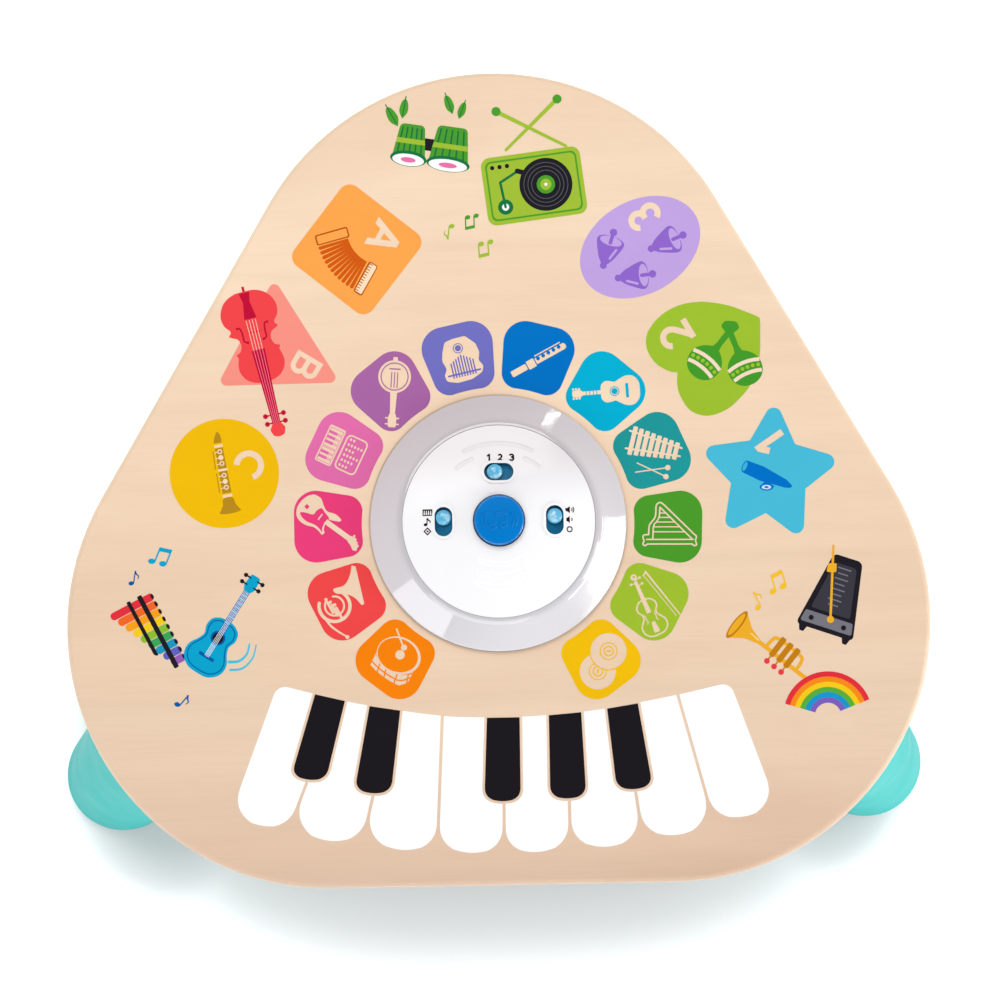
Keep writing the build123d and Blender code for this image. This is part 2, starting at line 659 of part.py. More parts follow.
put("battery_springs", *springs)
put("battery_plates", *plates)

# ------------------------------------------------------------- speaker
sx, sy = SPEAKER_AT
gasket = cyl(SPEAKER_R, F1, F1 + 0.8, sx, sy) - cyl(16.4, F1 - 1, F1 + 2, sx, sy)
put("speaker_gasket", gasket)
frame = turn(
    [(16.6, 241.2), (20.0, 241.2), (20.0, 242.2), (17.6, 242.2), (12.0, 249.0), (12.0, 250.0), (4.0, 250.0), (4.0, 249.2), (11.0, 249.2), (11.0, 248.6)]
)
for a in SPK_A:
    ear = Rot(0, 0, a) * block(17.8, 26.4, -2.6, 2.6, 242.05, 242.9)
    ear -= Rot(0, 0, a) * cyl(1.1, 240, 245, 24.2, 0)
    frame += ear
put("speaker_frame", Pos(sx, sy, 0) * frame)
cone_shell = turn(
    [(16.2, 241.3), (16.2, 241.7), (6.0, 247.0), (0, 245.4), (0, 244.9), (5.8, 246.5)]
)
put("speaker_cone", Pos(sx, sy, 0) * cone_shell)
put("speaker_magnet", cyl(11.0, 250.05, 256.0, sx, sy))
speaker_screws = []
for a in SPK_A:
    dx, dy = polar(24.2, a)
    speaker_screws.append(Pos(sx + dx, sy + dy, 242.9) * Rot(180, 0, 0) * screw(1.9, 1.2, 0.9, 1.95, 1.0))
put("speaker_screws", *speaker_screws)

# ------------------------------------------------------------- main board
mb = block(-29.0, 29.0, -48.5, 8.0, MB_Z, MB_Z + BOARD_T)
mb_screws = []
for x, y in POSTS:
    mb -= cyl(1.1, MB_Z - 1, MB_Z + 3, x, y)
    mb_screws.append(Pos(x, y, MB_Z + BOARD_T) * Rot(180, 0, 0) * screw(1.9, 1.2, 0.9, 3.6, 1.0))
put("main_board", mb)
put("main_board_screws", *mb_screws)
MT = MB_Z + BOARD_T
chips = [
    block(-9, 3, -32, -20, MT, MT + 1.8),
    block(9, 15, -30, -22, MT, MT + 1.6),
    cyl(3.1, MT, MT + 7.0, 18.0, -16.0),
    cyl(2.5, MT, MT + 6.0, -18.0, -36.0),
    block(-7.5, 7.5, -3.5, 1.2, MT, MT + 4.0),
    block(14, 20, 2.0, 6.5, MT, MT + 4.5),
    block(-22, -16, -14.0, -9.5, MT, MT + 4.5),
]
put("board_parts", *chips)

# Ribbon cable from the main board's connector up to the control board.
side = Polyline(
    (-1.6, MT + 4.0),
    (-1.6, MT + 12.2),
    (8.6, MT + 21.4),
    (8.6, CONTROL_BOARD_Z),
    (9.4, CONTROL_BOARD_Z),
    (9.4, MT + 21.0),
    (-0.8, MT + 11.8),
    (-0.8, MT + 4.0),
    close=True,
)
ribbon = extrude(Plane.YZ * make_face(side), 6.0, both=True)
bends = [e for e in ribbon.edges().filter_by(Axis.X) if MT + 8 < e.center().Z < MT + 25]
put("ribbon_cable", fillet(bends, 0.7))


def lead(points, radius, r=0.65):
    p = FilletPolyline(*points, radius=radius)
    return sweep(Plane(origin=p @ 0, z_dir=p % 0) * Circle(r), path=p)


put(
    "speaker_leads",
    lead([(11.8, 31.0, 252.0), (18.0, 31.0, 252.0), (18.0, 20.0, 262.0), (17.0, 13.0, 264.8), (15.6, 7.3, 264.8)], 2.6),
    lead([(11.8, 34.5, 252.0), (21.5, 34.5, 252.0), (21.5, 20.0, 263.0), (19.6, 12.5, 264.8), (18.4, 7.3, 264.8)], 2.6),
)
put(
    "battery_leads",
    lead([(-29.4, -20.0, 259.0), (-34.0, -20.0, 259.0), (-34.0, -20.0, 264.0), (-29.0, -14.5, 264.8), (-22.8, -12.8, 264.8)], 2.0),
    lead([(-29.4, -4.0, 259.0), (-34.0, -4.0, 259.0), (-34.0, -4.0, 264.0), (-29.0, -9.0, 264.8), (-22.8, -10.7, 264.8)], 2.0),
)

# ------------------------------------------------------------- write the nodes
lo = [1e9] * 3
hi = [-1e9] * 3
for solids in nodes.values():
    for s in solids:
        b = s.bounding_box()
        for i, (p, q) in enumerate(zip(tuple(b.min), tuple(b.max))):
            lo[i] = min(lo[i], p)
            hi[i] = max(hi[i], q)
shift = Pos(-(lo[0] + hi[0]) / 2, -(lo[1] + hi[1]) / 2, 0)
print("box", [round(v, 3) for v in lo], [round(v, 3) for v in hi])
print("control unit's axis in the finished frame", round(-(lo[0] + hi[0]) / 2, 4), round(-(lo[1] + hi[1]) / 2, 4))
for name, solids in nodes.items():
    moved = [shift * s for s in solids]
    shape = moved[0] if len(moved) == 1 else Compound(children=moved)
    export_step(shape, f"parts/{name}.step")
print(len(nodes), "nodes")
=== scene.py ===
import json
import math

import bpy
import numpy as np
from mathutils import Matrix, Quaternion, Vector
from mathutils.geometry import delaunay_2d_cdt


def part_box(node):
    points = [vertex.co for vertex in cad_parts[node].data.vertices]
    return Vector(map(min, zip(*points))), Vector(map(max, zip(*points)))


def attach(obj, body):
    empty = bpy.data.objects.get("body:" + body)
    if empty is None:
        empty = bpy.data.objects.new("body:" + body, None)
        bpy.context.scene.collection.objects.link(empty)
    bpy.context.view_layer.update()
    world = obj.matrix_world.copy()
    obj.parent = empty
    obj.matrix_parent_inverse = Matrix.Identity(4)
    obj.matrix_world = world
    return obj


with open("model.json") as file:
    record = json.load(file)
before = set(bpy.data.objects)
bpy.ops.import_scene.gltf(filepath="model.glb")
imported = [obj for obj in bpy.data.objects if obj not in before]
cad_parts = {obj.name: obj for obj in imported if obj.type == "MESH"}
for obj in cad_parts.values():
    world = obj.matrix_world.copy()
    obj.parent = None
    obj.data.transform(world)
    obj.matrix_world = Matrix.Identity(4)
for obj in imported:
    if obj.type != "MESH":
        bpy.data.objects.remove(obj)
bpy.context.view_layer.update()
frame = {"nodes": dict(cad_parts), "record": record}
nodes = frame["nodes"]
scene = bpy.context.scene
scene.view_settings.view_transform = "Standard"

# The control unit's axis at the wooden surface is the reference of everything here.
_lo, _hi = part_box("light_ring")
AX, AY = (_lo.x + _hi.x) / 2, (_lo.y + _hi.y) / 2
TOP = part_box("top_panel")[1].z

# ---------------------------------------------------------------- camera
TILT, YAW, ROLL = (math.radians(a) for a in (3.75, 0.93, 0.97))
DIST = 1.2
MIDDLE = (498.4, 523.3)  # where the axis stands in the 1000 x 1000 image


def turned(v):
    x, y, z = v
    y1 = y * math.cos(TILT) + z * math.sin(TILT)
    z1 = -y * math.sin(TILT) + z * math.cos(TILT)
    x2 = x * math.cos(YAW) + z1 * math.sin(YAW)
    z2 = -x * math.sin(YAW) + z1 * math.cos(YAW)
    return (
        x2 * math.cos(ROLL) - y1 * math.sin(ROLL),
        x2 * math.sin(ROLL) + y1 * math.cos(ROLL),
        z2,
    )


VIEW = np.array([turned(e) for e in np.eye(3)]).T  # world to camera
EYE = VIEW.T @ np.array([0, 0, DIST])

cam = bpy.data.cameras.new("camera")
cam.lens, cam.sensor_width = 86.4, 36.0
cam.shift_x, cam.shift_y = (500 - MIDDLE[0]) / 1000, (MIDDLE[1] - 500) / 1000
cam.clip_start, cam.clip_end = 0.05, 20.0
cam_obj = bpy.data.objects.new("camera", cam)
scene.collection.objects.link(cam_obj)
m = Matrix([list(r) for r in VIEW.T]).to_4x4()
m.translation = Vector((AX, AY, TOP)) + Vector(EYE)
cam_obj.matrix_world = m
scene.camera = cam_obj


def on_plane(px, py, z=0.0):
    """Pixel to the point, in mm from the axis, at height z mm above the wood."""
    eye = EYE * 1000
    t = VIEW.T @ np.array([(px - MIDDLE[0]) * 0.5, (MIDDLE[1] - py) * 0.5, 0.0])
    d = t - eye
    k = (z - eye[2]) / d[2]
    p = eye + k * d
    return float(p[0]), float(p[1])


# ---------------------------------------------------------------- materials
def lin(c):
    out = []
    for v in c:
        v = v / 255.0
        out.append(v / 12.92 if v <= 0.04045 else ((v + 0.055) / 1.055) ** 2.4)
    return out


class Mat:
    """Small helper round one node tree with a Principled shader."""

    def __init__(self, name):
        self.m = bpy.data.materials.new(name)
        self.m.use_nodes = True
        self.t = self.m.node_tree
        self.t.nodes.clear()
        self.out = self.t.nodes.new("ShaderNodeOutputMaterial")
        self.b = self.t.nodes.new("ShaderNodeBsdfPrincipled")
        self.t.links.new(self.b.outputs[0], self.out.inputs["Surface"])
        self.co = None

    def set(self, **kw):
        for k, v in kw.items():
            s = self.b.inputs[k.replace("_", " ")]
            s.default_value = v
        return self

    def node(self, kind, **kw):
        n = self.t.nodes.new(kind)
        for k, v in kw.items():
            setattr(n, k, v)
        return n

    def link(self, a, b):
        self.t.links.new(a, b)

    def coords(self, scale=(1, 1, 1), rot=(0, 0, 0)):
        if self.co is None:
            self.co = self.node("ShaderNodeTexCoord")
        mp = self.node("ShaderNodeMapping")
        mp.inputs["Scale"].default_value = scale
        mp.inputs["Rotation"].default_value = rot
        self.link(self.co.outputs["Object"], mp.inputs["Vector"])
        return mp.outputs["Vector"]

    def noise(self, scale, detail=3.0, rough=0.55, stretch=(1, 1, 1), rot=(0, 0, 0), distort=0.0):
        n = self.node("ShaderNodeTexNoise")
        n.inputs["Scale"].default_value = scale
        n.inputs["Detail"].default_value = detail
        n.inputs["Roughness"].default_value = rough
        n.inputs["Distortion"].default_value = distort
        self.link(self.coords(stretch, rot), n.inputs["Vector"])
        return n.outputs["Fac"]

    def ramp(self, fac, lo, hi, a=0.0, b=1.0):
        r = self.node("ShaderNodeMapRange")
        r.clamp = True
        r.inputs["From Min"].default_value = lo
        r.inputs["From Max"].default_value = hi
        r.inputs["To Min"].default_value = a
        r.inputs["To Max"].default_value = b
        self.link(fac, r.inputs["Value"])
        return r.outputs["Result"]

    def mix(self, fac, a, b, mode="MIX"):
        n = self.node("ShaderNodeMix", data_type="RGBA", blend_type=mode)
        n.clamp_factor = True
        for s, v in ((6, a), (7, b)):
            if hasattr(v, "links") or hasattr(v, "is_linked"):
                self.link(v, n.inputs[s])
            else:
                n.inputs[s].default_value = (*v[:3], 1)
        if hasattr(fac, "is_linked"):
            self.link(fac, n.inputs[0])
        else:
            n.inputs[0].default_value = fac
        return n.outputs[2]

    def colour(self, socket):
        self.link(socket, self.b.inputs["Base Color"])
        return self

    def rough(self, socket):
        self.link(socket, self.b.inputs["Roughness"])
        return self

    def bump(self, height, strength=0.2, distance=0.0002, onto=None):
        n = self.node("ShaderNodeBump")
        n.inputs["Strength"].default_value = strength
        n.inputs["Distance"].default_value = distance
        self.link(height, n.inputs["Height"])
        if onto is not None:
            self.link(onto, n.inputs["Normal"])
        self.link(n.outputs[0], self.b.inputs["Normal"])
        return n.outputs[0]


def shade(c, k):
    return [min(1.0, max(0.0, v * k)) for v in c]


def plain(name, c, rough=0.4, var=0.06, scale=60.0, bump=0.06, bump_scale=900.0, spread=0.06, **kw):
    """Moulded, painted or cast surface: mottled colour, uneven gloss, fine grain."""
    mt = Mat(name)
    mt.set(**kw) if kw else None
    n = mt.noise(scale, 4.0)
    mt.colour(mt.mix(mt.ramp(n, 0.3, 0.7), shade(c, 1 - var), shade(c, 1 + var)))
    g = mt.noise(scale * 2.3, 3.0)
    mt.rough(mt.ramp(g, 0.25, 0.75, max(0.02, rough - spread), min(1.0, rough + spread)))
    if bump:
        f = mt.noise(bump_scale, 2.0)
        mt.bump(f, bump, 0.00006)
    return mt.m


def wood(name, light, dark, rough=0.42, figure=1.0, rot=(0, 0, 0), painted_shade=None):
    """Pale lacquered wood with fine straight grain along X; its last argument is painted shade, a multiplier on the
    colour along Y.
    """
    mt = Mat(name)
    broad = mt.noise(9.0, 4.0, 0.6, (0.35, 1.6, 1.6), rot, 0.6)
    band = mt.noise(30.0, 3.0, 0.5, (0.10, 1.5, 1.5), rot, 0.4)
    grain = mt.noise(70.0, 6.0, 0.65, (0.10, 1.7, 1.7), rot, 0.15)
    fine = mt.noise(420.0, 4.0, 0.6, (0.06, 1.9, 1.9), rot)
    fleck = mt.noise(900.0, 2.0, 0.5, (0.08, 1.0, 1.0), rot)
    c = mt.mix(mt.ramp(broad, 0.35, 0.68), dark, light)
    c = mt.mix(mt.ramp(band, 0.50, 0.72, 0.0, 0.34 * figure), c, shade(dark, 0.93))
    c = mt.mix(mt.ramp(grain, 0.52, 0.78, 0.0, 0.26 * figure), c, shade(dark, 0.86))
    c = mt.mix(mt.ramp(fine, 0.50, 0.80, 0.0, 0.22 * figure), c, shade(dark, 0.84))
    c = mt.mix(mt.ramp(fleck, 0.66, 0.74, 0.0, 0.10 * figure), c, shade(dark, 0.72))
    # Painted shade: the colour is multiplied by a ramp along Y.
    if painted_shade:
        sep = mt.node("ShaderNodeSeparateXYZ")
        mt.link(mt.co.outputs["Object"], sep.inputs[0])
        lo, hi = painted_shade[0][0], painted_shade[-1][0]
        cr = mt.node("ShaderNodeValToRGB")
        cr.color_ramp.interpolation = "EASE"
        el = cr.color_ramp.elements
        while len(el) < len(painted_shade):
            el.new(0.5)
        for e, (y, k) in zip(el, painted_shade):
            e.position = (y - lo) / (hi - lo)
            e.color = (*k, 1)
        mt.link(mt.ramp(sep.outputs["Y"], lo, hi), cr.inputs["Fac"])
        c = mt.mix(1.0, c, cr.outputs["Color"], "MULTIPLY")
    mt.colour(c)
    mt.rough(mt.ramp(grain, 0.3, 0.7, rough - 0.05, rough + 0.07))
    first = mt.bump(fine, 0.05 * figure, 0.00012)
    mt.bump(grain, 0.04 * figure, 0.0003, onto=first)
    mt.set(Specular_IOR_Level=0.22)
    return mt.m


LIGHT = 1.33  # light level on the table top, by which the wanted colours are divided


def albedo(c, k=None):
    return [min(0.93, v / (k or LIGHT)) for v in lin(c)]


MAPLE_LIGHT = albedo((251, 223, 194))
MAPLE_DARK = albedo((243, 212, 181))
# Painted shade along Y: the face's colour is multiplied down towards the front edge, and a little towards the back, in
# place of the light's fall-off.
PAINTED_SHADE_ALONG_Y = [
    (-0.240, (0.80, 0.755, 0.765)), (-0.215, (0.868, 0.825, 0.84)), (-0.150, (0.925, 0.915, 0.92)),
    (-0.100, (0.945, 0.935, 0.935)), (0.0, (1.0, 1.0, 1.0)), (0.06, (0.99, 0.99, 0.99)), (0.20, (0.97, 0.97, 0.97)),
]

mats = {}
mats["maple_face"] = wood("maple_face", MAPLE_LIGHT, MAPLE_DARK, painted_shade=PAINTED_SHADE_ALONG_Y)
mats["maple_under"] = wood("maple_under", albedo((240, 212, 180)), albedo((230, 198, 162)))
mats["beech_core"] = wood("beech_core", albedo((238, 206, 170)), albedo((222, 186, 148)), 0.5, 1.3)
mats["teal_paint"] = plain("teal_paint", [0.024, 0.375, 0.350], 0.42, 0.03, 14.0, 0.05, 260.0, Specular_IOR_Level=0.03)
mats["teal_plastic"] = plain("teal_plastic", [0.08, 0.55, 0.51], 0.36, 0.03, 40.0, 0.08, 1400.0, Specular_IOR_Level=0.3)
mats["rubber_pad"] = plain("rubber_pad", [0.42, 0.43, 0.43], 0.8, 0.08, 90.0, 0.25, 700.0)
mats["white_plastic"] = plain(
    "white_plastic", [0.755, 0.745, 0.757], 0.24, 0.008, 50.0, 0.02, 1500.0, 0.03, Specular_IOR_Level=0.4, Coat_Weight=0.15, Coat_Roughness=0.08
)
mats["tub_plastic"] = plain("tub_plastic", [0.78, 0.78, 0.79], 0.46, 0.02, 50.0, 0.22, 1500.0)
mats["black_plastic"] = plain("black_plastic", [0.02, 0.02, 0.023], 0.42, 0.15, 80.0, 0.1, 1200.0)
mats["circuit_board"] = plain("circuit_board", [0.02, 0.14, 0.06], 0.34, 0.12, 220.0, 0.15, 900.0)
mats["led_white"] = plain("led_white", [0.80, 0.74, 0.45], 0.2, 0.05, 300.0, 0.02, 900.0)
mats["film_clear"] = plain("film_clear", [0.62, 0.38, 0.10], 0.25, 0.05, 60.0, 0.05, 500.0)
mats["foam"] = plain("foam", [0.03, 0.03, 0.03], 0.95, 0.2, 700.0, 0.6, 2500.0)
mats["cone_paper"] = plain("cone_paper", [0.025, 0.025, 0.028], 0.85, 0.2, 300.0, 0.4, 1500.0)
mats["cable_grey"] = plain("cable_grey", [0.36, 0.37, 0.39], 0.5, 0.06, 120.0, 0.1, 1200.0)
mats["lead_red"] = plain("lead_red", [0.55, 0.02, 0.02], 0.4, 0.08, 120.0, 0.1, 1200.0)
mats["lead_black"] = plain("lead_black", [0.015, 0.015, 0.015], 0.4, 0.1, 120.0, 0.1, 1200.0)
mats["steel"] = plain("steel", [0.62, 0.62, 0.63], 0.32, 0.06, 300.0, 0.12, 1800.0, 0.08, Metallic=1.0)
mats["switch_shell"] = plain("switch_shell", [0.66, 0.66, 0.67], 0.28, 0.05, 300.0, 0.08, 1800.0, 0.06, Metallic=1.0)
mats["copper"] = plain("copper", [0.78, 0.42, 0.25], 0.3, 0.08, 200.0, 0.06, 1500.0, 0.06, Metallic=1.0)
mats["brass"] = plain("brass", [0.76, 0.56, 0.25], 0.28, 0.06, 200.0, 0.08, 1500.0, 0.06, Metallic=1.0)
mats["cell_wrap"] = plain("cell_wrap", [0.07, 0.08, 0.10], 0.25, 0.1, 150.0, 0.04, 900.0, 0.05, Metallic=0.6)
mats["ferrite"] = plain("ferrite", [0.05, 0.05, 0.055], 0.5, 0.15, 260.0, 0.2, 1500.0, 0.06, Metallic=0.7)
mats["ring_plastic"] = plain(
    "ring_plastic", [0.585, 0.570, 0.598], 0.07, 0.012, 30.0, 0.0, 900.0, 0.02, Coat_Weight=0.6, Coat_Roughness=0.03
)

# Painted shadow: a thin dark line on the wood round the foot of the light ring, on the side away from the light.
wt_ = mats["maple_face"].node_tree
wb_ = next(n for n in wt_.nodes if n.type == "BSDF_PRINCIPLED")
wco = wt_.nodes.new("ShaderNodeTexCoord")
wdi = wt_.nodes.new("ShaderNodeVectorMath")
wdi.operation = "SUBTRACT"
wdi.inputs[1].default_value = (0.0, -0.058589, 0.288)
wle = wt_.nodes.new("ShaderNodeVectorMath")
wle.operation = "LENGTH"
wno = wt_.nodes.new("ShaderNodeVectorMath")
wno.operation = "NORMALIZE"
wdo = wt_.nodes.new("ShaderNodeVectorMath")
wdo.operation = "DOT_PRODUCT"
wdo.inputs[1].default_value = (-0.62, 0.78, 0.0)
waz = wt_.nodes.new("ShaderNodeMapRange")
waz.inputs["From Min"].default_value, waz.inputs["From Max"].default_value = -0.3, 0.9
waz.inputs["To Min"].default_value, waz.inputs["To Max"].default_value = 0.97, 0.60
wra = wt_.nodes.new("ShaderNodeMapRange")
wra.interpolation_type = "SMOOTHSTEP"
wra.inputs["From Min"].default_value, wra.inputs["From Max"].default_value = 0.0643, 0.0655
wra.inputs["To Max"].default_value = 1.0
wmi = wt_.nodes.new("ShaderNodeMix")
wmi.data_type, wmi.blend_type = "RGBA", "MULTIPLY"
wmi.inputs[0].default_value = 1.0
wt_.links.new(wco.outputs["Object"], wdi.inputs[0])
wt_.links.new(wdi.outputs[0], wle.inputs[0])
wt_.links.new(wdi.outputs[0], wno.inputs[0])
wt_.links.new(wno.outputs[0], wdo.inputs[0])
wt_.links.new(wdo.outputs["Value"], waz.inputs["Value"])
wt_.links.new(waz.outputs["Result"], wra.inputs["To Min"])
wt_.links.new(wle.outputs["Value"], wra.inputs["Value"])
wt_.links.new(wb_.inputs["Base Color"].links[0].from_socket, wmi.inputs[6])
wt_.links.new(wra.outputs["Result"], wmi.inputs[7])
# Painted light: the face is painted brighter close to the ring, most on its far side, in place of the light coming off
# its cone.
wsu = wt_.nodes.new("ShaderNodeVectorMath")
wsu.operation = "DOT_PRODUCT"
wsu.inputs[1].default_value = (-0.35, 0.94, 0.0)
wsm = wt_.nodes.new("ShaderNodeMapRange")
wsm.inputs["From Min"].default_value, wsm.inputs["From Max"].default_value = -1.0, 1.0
wsm.inputs["To Min"].default_value, wsm.inputs["To Max"].default_value = 0.985, 1.115
wsr = wt_.nodes.new("ShaderNodeMapRange")
wsr.interpolation_type = "SMOOTHSTEP"
wsr.inputs["From Min"].default_value, wsr.inputs["From Max"].default_value = 0.066, 0.108
wsr.inputs["To Max"].default_value = 1.0
wmj = wt_.nodes.new("ShaderNodeMix")
wmj.data_type, wmj.blend_type = "RGBA", "MULTIPLY"
wmj.inputs[0].default_value = 1.0
wt_.links.new(wno.outputs[0], wsu.inputs[0])
wt_.links.new(wsu.outputs["Value"], wsm.inputs["Value"])
wt_.links.new(wsm.outputs["Result"], wsr.inputs["To Min"])
wt_.links.new(wle.outputs["Value"], wsr.inputs["Value"])
wt_.links.new(wmi.outputs[2], wmj.inputs[6])
wt_.links.new(wsr.outputs["Result"], wmj.inputs[7])
wt_.links.new(wmj.outputs[2], wb_.inputs["Base Color"])

# Painted shade: the ring is painted warmer and greyer towards its far side.
wt_ = mats["ring_plastic"].node_tree
wb_ = next(n for n in wt_.nodes if n.type == "BSDF_PRINCIPLED")
wco = wt_.nodes.new("ShaderNodeTexCoord")
wse = wt_.nodes.new("ShaderNodeSeparateXYZ")
wmr = wt_.nodes.new("ShaderNodeMapRange")
wmr.inputs["From Min"].default_value, wmr.inputs["From Max"].default_value = -0.120, 0.003
wcr = wt_.nodes.new("ShaderNodeValToRGB")
wcr.color_ramp.elements[0].color = (0.985, 0.99, 1.0, 1)
wcr.color_ramp.elements[1].color = (0.872, 0.802, 0.790, 1)
wmi = wt_.nodes.new("ShaderNodeMix")
wmi.data_type, wmi.blend_type = "RGBA", "MULTIPLY"
wmi.inputs[0].default_value = 1.0
wt_.links.new(wco.outputs["Object"], wse.inputs[0])
wt_.links.new(wse.outputs["Y"], wmr.inputs["Value"])
wt_.links.new(wmr.outputs["Result"], wcr.inputs["Fac"])
wt_.links.new(wb_.inputs["Base Color"].links[0].from_socket, wmi.inputs[6])
wt_.links.new(wcr.outputs["Color"], wmi.inputs[7])
# Painted shade: the ring is also painted darker over its rounded inner shoulder, next to the seam.
wpl = wt_.nodes.new("ShaderNodeVectorMath")
wpl.operation = "MULTIPLY_ADD"
wpl.inputs[1].default_value = (1.0, 1.0, 0.0)
wpl.inputs[2].default_value = (0.0, 0.058589, 0.0)
wpr = wt_.nodes.new("ShaderNodeVectorMath")
wpr.operation = "LENGTH"
wps = wt_.nodes.new("ShaderNodeMapRange")
wps.interpolation_type = "SMOOTHSTEP"
wps.inputs["From Min"].default_value, wps.inputs["From Max"].default_value = 0.0485, 0.0520
wps.inputs["To Min"].default_value, wps.inputs["To Max"].default_value = 0.82, 1.0
wmj = wt_.nodes.new("ShaderNodeMix")
wmj.data_type, wmj.blend_type = "RGBA", "MULTIPLY"
wmj.inputs[0].default_value = 1.0
wt_.links.new(wco.outputs["Object"], wpl.inputs[0])
wt_.links.new(wpl.outputs[0], wpr.inputs[0])
wt_.links.new(wpr.outputs["Value"], wps.inputs["Value"])
wt_.links.new(wmi.outputs[2], wmj.inputs[6])
wt_.links.new(wps.outputs["Result"], wmj.inputs[7])
wt_.links.new(wmj.outputs[2], wb_.inputs["Base Color"])

# Painted shade: the cover is painted a touch greyer towards its far side.
wt_ = mats["white_plastic"].node_tree
wb_ = next(n for n in wt_.nodes if n.type == "BSDF_PRINCIPLED")
wco = wt_.nodes.new("ShaderNodeTexCoord")
wse = wt_.nodes.new("ShaderNodeSeparateXYZ")
wmr = wt_.nodes.new("ShaderNodeMapRange")
wmr.interpolation_type = "SMOOTHSTEP"
wmr.inputs["From Min"].default_value, wmr.inputs["From Max"].default_value = -0.055, -0.020
wcr = wt_.nodes.new("ShaderNodeValToRGB")
wcr.color_ramp.elements[0].color = (1.0, 1.0, 1.0, 1)
wcr.color_ramp.elements[1].color = (0.802, 0.768, 0.776, 1)
wt_.links.new(wmr.outputs["Result"], wcr.inputs["Fac"])
wmi = wt_.nodes.new("ShaderNodeMix")
wmi.data_type, wmi.blend_type = "RGBA", "MULTIPLY"
wmi.inputs[0].default_value = 1.0
wt_.links.new(wco.outputs["Object"], wse.inputs[0])
wt_.links.new(wse.outputs["Y"], wmr.inputs["Value"])
wt_.links.new(wb_.inputs["Base Color"].links[0].from_socket, wmi.inputs[6])
wt_.links.new(wcr.outputs["Color"], wmi.inputs[7])
wt_.links.new(wmi.outputs[2], wb_.inputs["Base Color"])


def by_height(name, low, high, z0, z1, rough, coat, var=0.03, scale=90.0, painted_glint=None, **kw):
    """Tinted clear plastic with painted shade: deeper in colour low down in its opening, lighter at the top; coat gives
    its gloss by height.
    """
    mt = Mat(name)
    mt.set(**kw)
    n = mt.noise(scale, 4.0)
    sep = mt.node("ShaderNodeSeparateXYZ")
    mt.link(mt.co.outputs["Object"], sep.inputs[0])
    h = mt.ramp(sep.outputs["Z"], z0, z1)
    c = mt.mix(h, low, high)
    c = mt.mix(mt.ramp(n, 0.3, 0.7, 0.0, 2 * var), c, shade(high, 0.8))
    if painted_glint:
        # Painted highlight: pale patches painted on the knob's crown, standing in for light gathered inside the clear
        # knob.
        spot = mt.ramp(mt.noise(painted_glint[0], 1.0), painted_glint[1], painted_glint[1] + 0.10, 0.0, painted_glint[2])
        gate = mt.ramp(sep.outputs["Z"], painted_glint[3], painted_glint[3] + 0.0004)
        both = mt.node("ShaderNodeMath")
        both.operation = "MULTIPLY"
        mt.link(spot, both.inputs[0])
        mt.link(gate, both.inputs[1])
        c = mt.mix(both.outputs[0], c, albedo((205, 236, 250)))
    mt.colour(c)
    mt.rough(mt.ramp(h, 0.0, 1.0, rough[0], rough[1]))
    lo, hi = coat[0][0], coat[-1][0]
    cr = mt.node("ShaderNodeValToRGB")
    el = cr.color_ramp.elements
    while len(el) < len(coat):
        el.new(0.5)
    for e, (z, k) in zip(el, coat):
        e.position = (z - lo) / (hi - lo)
        e.color = (k, k, k, 1)
    mt.link(mt.ramp(sep.outputs["Z"], lo, hi), cr.inputs["Fac"])
    mt.link(cr.outputs["Color"], mt.b.inputs["Coat Weight"])
    mt.bump(mt.noise(1500.0, 2.0), 0.02, 0.00006)
    return mt.m


# Painted shade: the button's side, down in the cover's opening, is painted dark navy.
mats["button_blue"] = by_height(
    "button_blue", [0.001, 0.010, 0.040], albedo((0, 124, 206)), 0.3118, 0.3127, (0.5, 0.32),
    [(0.3116, 0.0), (0.3123, 0.2), (0.3126, 1.0), (0.31290, 1.0), (0.31308, 0.04), (0.3140, 0.04)],
    Specular_IOR_Level=0.06, Coat_Roughness=0.03
)
# Painted shade: the slider's deck, low in its slot, is painted deeper than the knob's crown, which has painted
# highlight patches.
mats["slider_blue"] = by_height(
    "slider_blue", albedo((0, 112, 156)), albedo((92, 186, 226)), 0.3056, 0.3076, (0.5, 0.14),
    [(0.3050, 0.0), (0.3058, 0.06), (0.3072, 0.6), (0.3084, 1.0)],
    painted_glint=(300.0, 0.47, 0.50, 0.3076), Specular_IOR_Level=0.16, Coat_Roughness=0.03
)

slot_of = {s["node"]: s["material_slot"] for s in frame["record"]["subparts"]}
for name, obj in nodes.items():
    mt = mats[slot_of[name]]
    obj.data.materials.clear()
    obj.data.materials.append(mt)

# ---------------------------------------------------------------- inks
inks = {}


def ink(c, rough=0.40):
    """Printed ink: opaque, thin enough for the wood's grain to show in its gloss."""
    key = tuple(c)
    if key in inks:
        return inks[key]
    mt = Mat("ink_%02x%02x%02x" % key)
    base = albedo(c)
    n = mt.noise(26.0, 4.0, 0.6, (0.5, 1.2, 1))
    s = mt.noise(520.0, 3.0, 0.6, (0.12, 1.6, 1.6))
    col = mt.mix(mt.ramp(n, 0.3, 0.7), shade(base, 0.975), shade(base, 1.025))
    col = mt.mix(mt.ramp(s, 0.5, 0.85, 0.0, 0.16), col, shade(base, 0.88))
    mt.colour(col)
    mt.rough(mt.ramp(s, 0.3, 0.7, rough - 0.05, rough + 0.06))
    mt.bump(s, 0.05, 0.0001)
    mt.set(Specular_IOR_Level=0.02)
    inks[key] = mt.m
    return mt.m


# ---------------------------------------------------------------- drawing kit
def unit(a, b):
    d = math.hypot(b[0] - a[0], b[1] - a[1]) or 1e-9
    return (b[0] - a[0]) / d, (b[1] - a[1]) / d


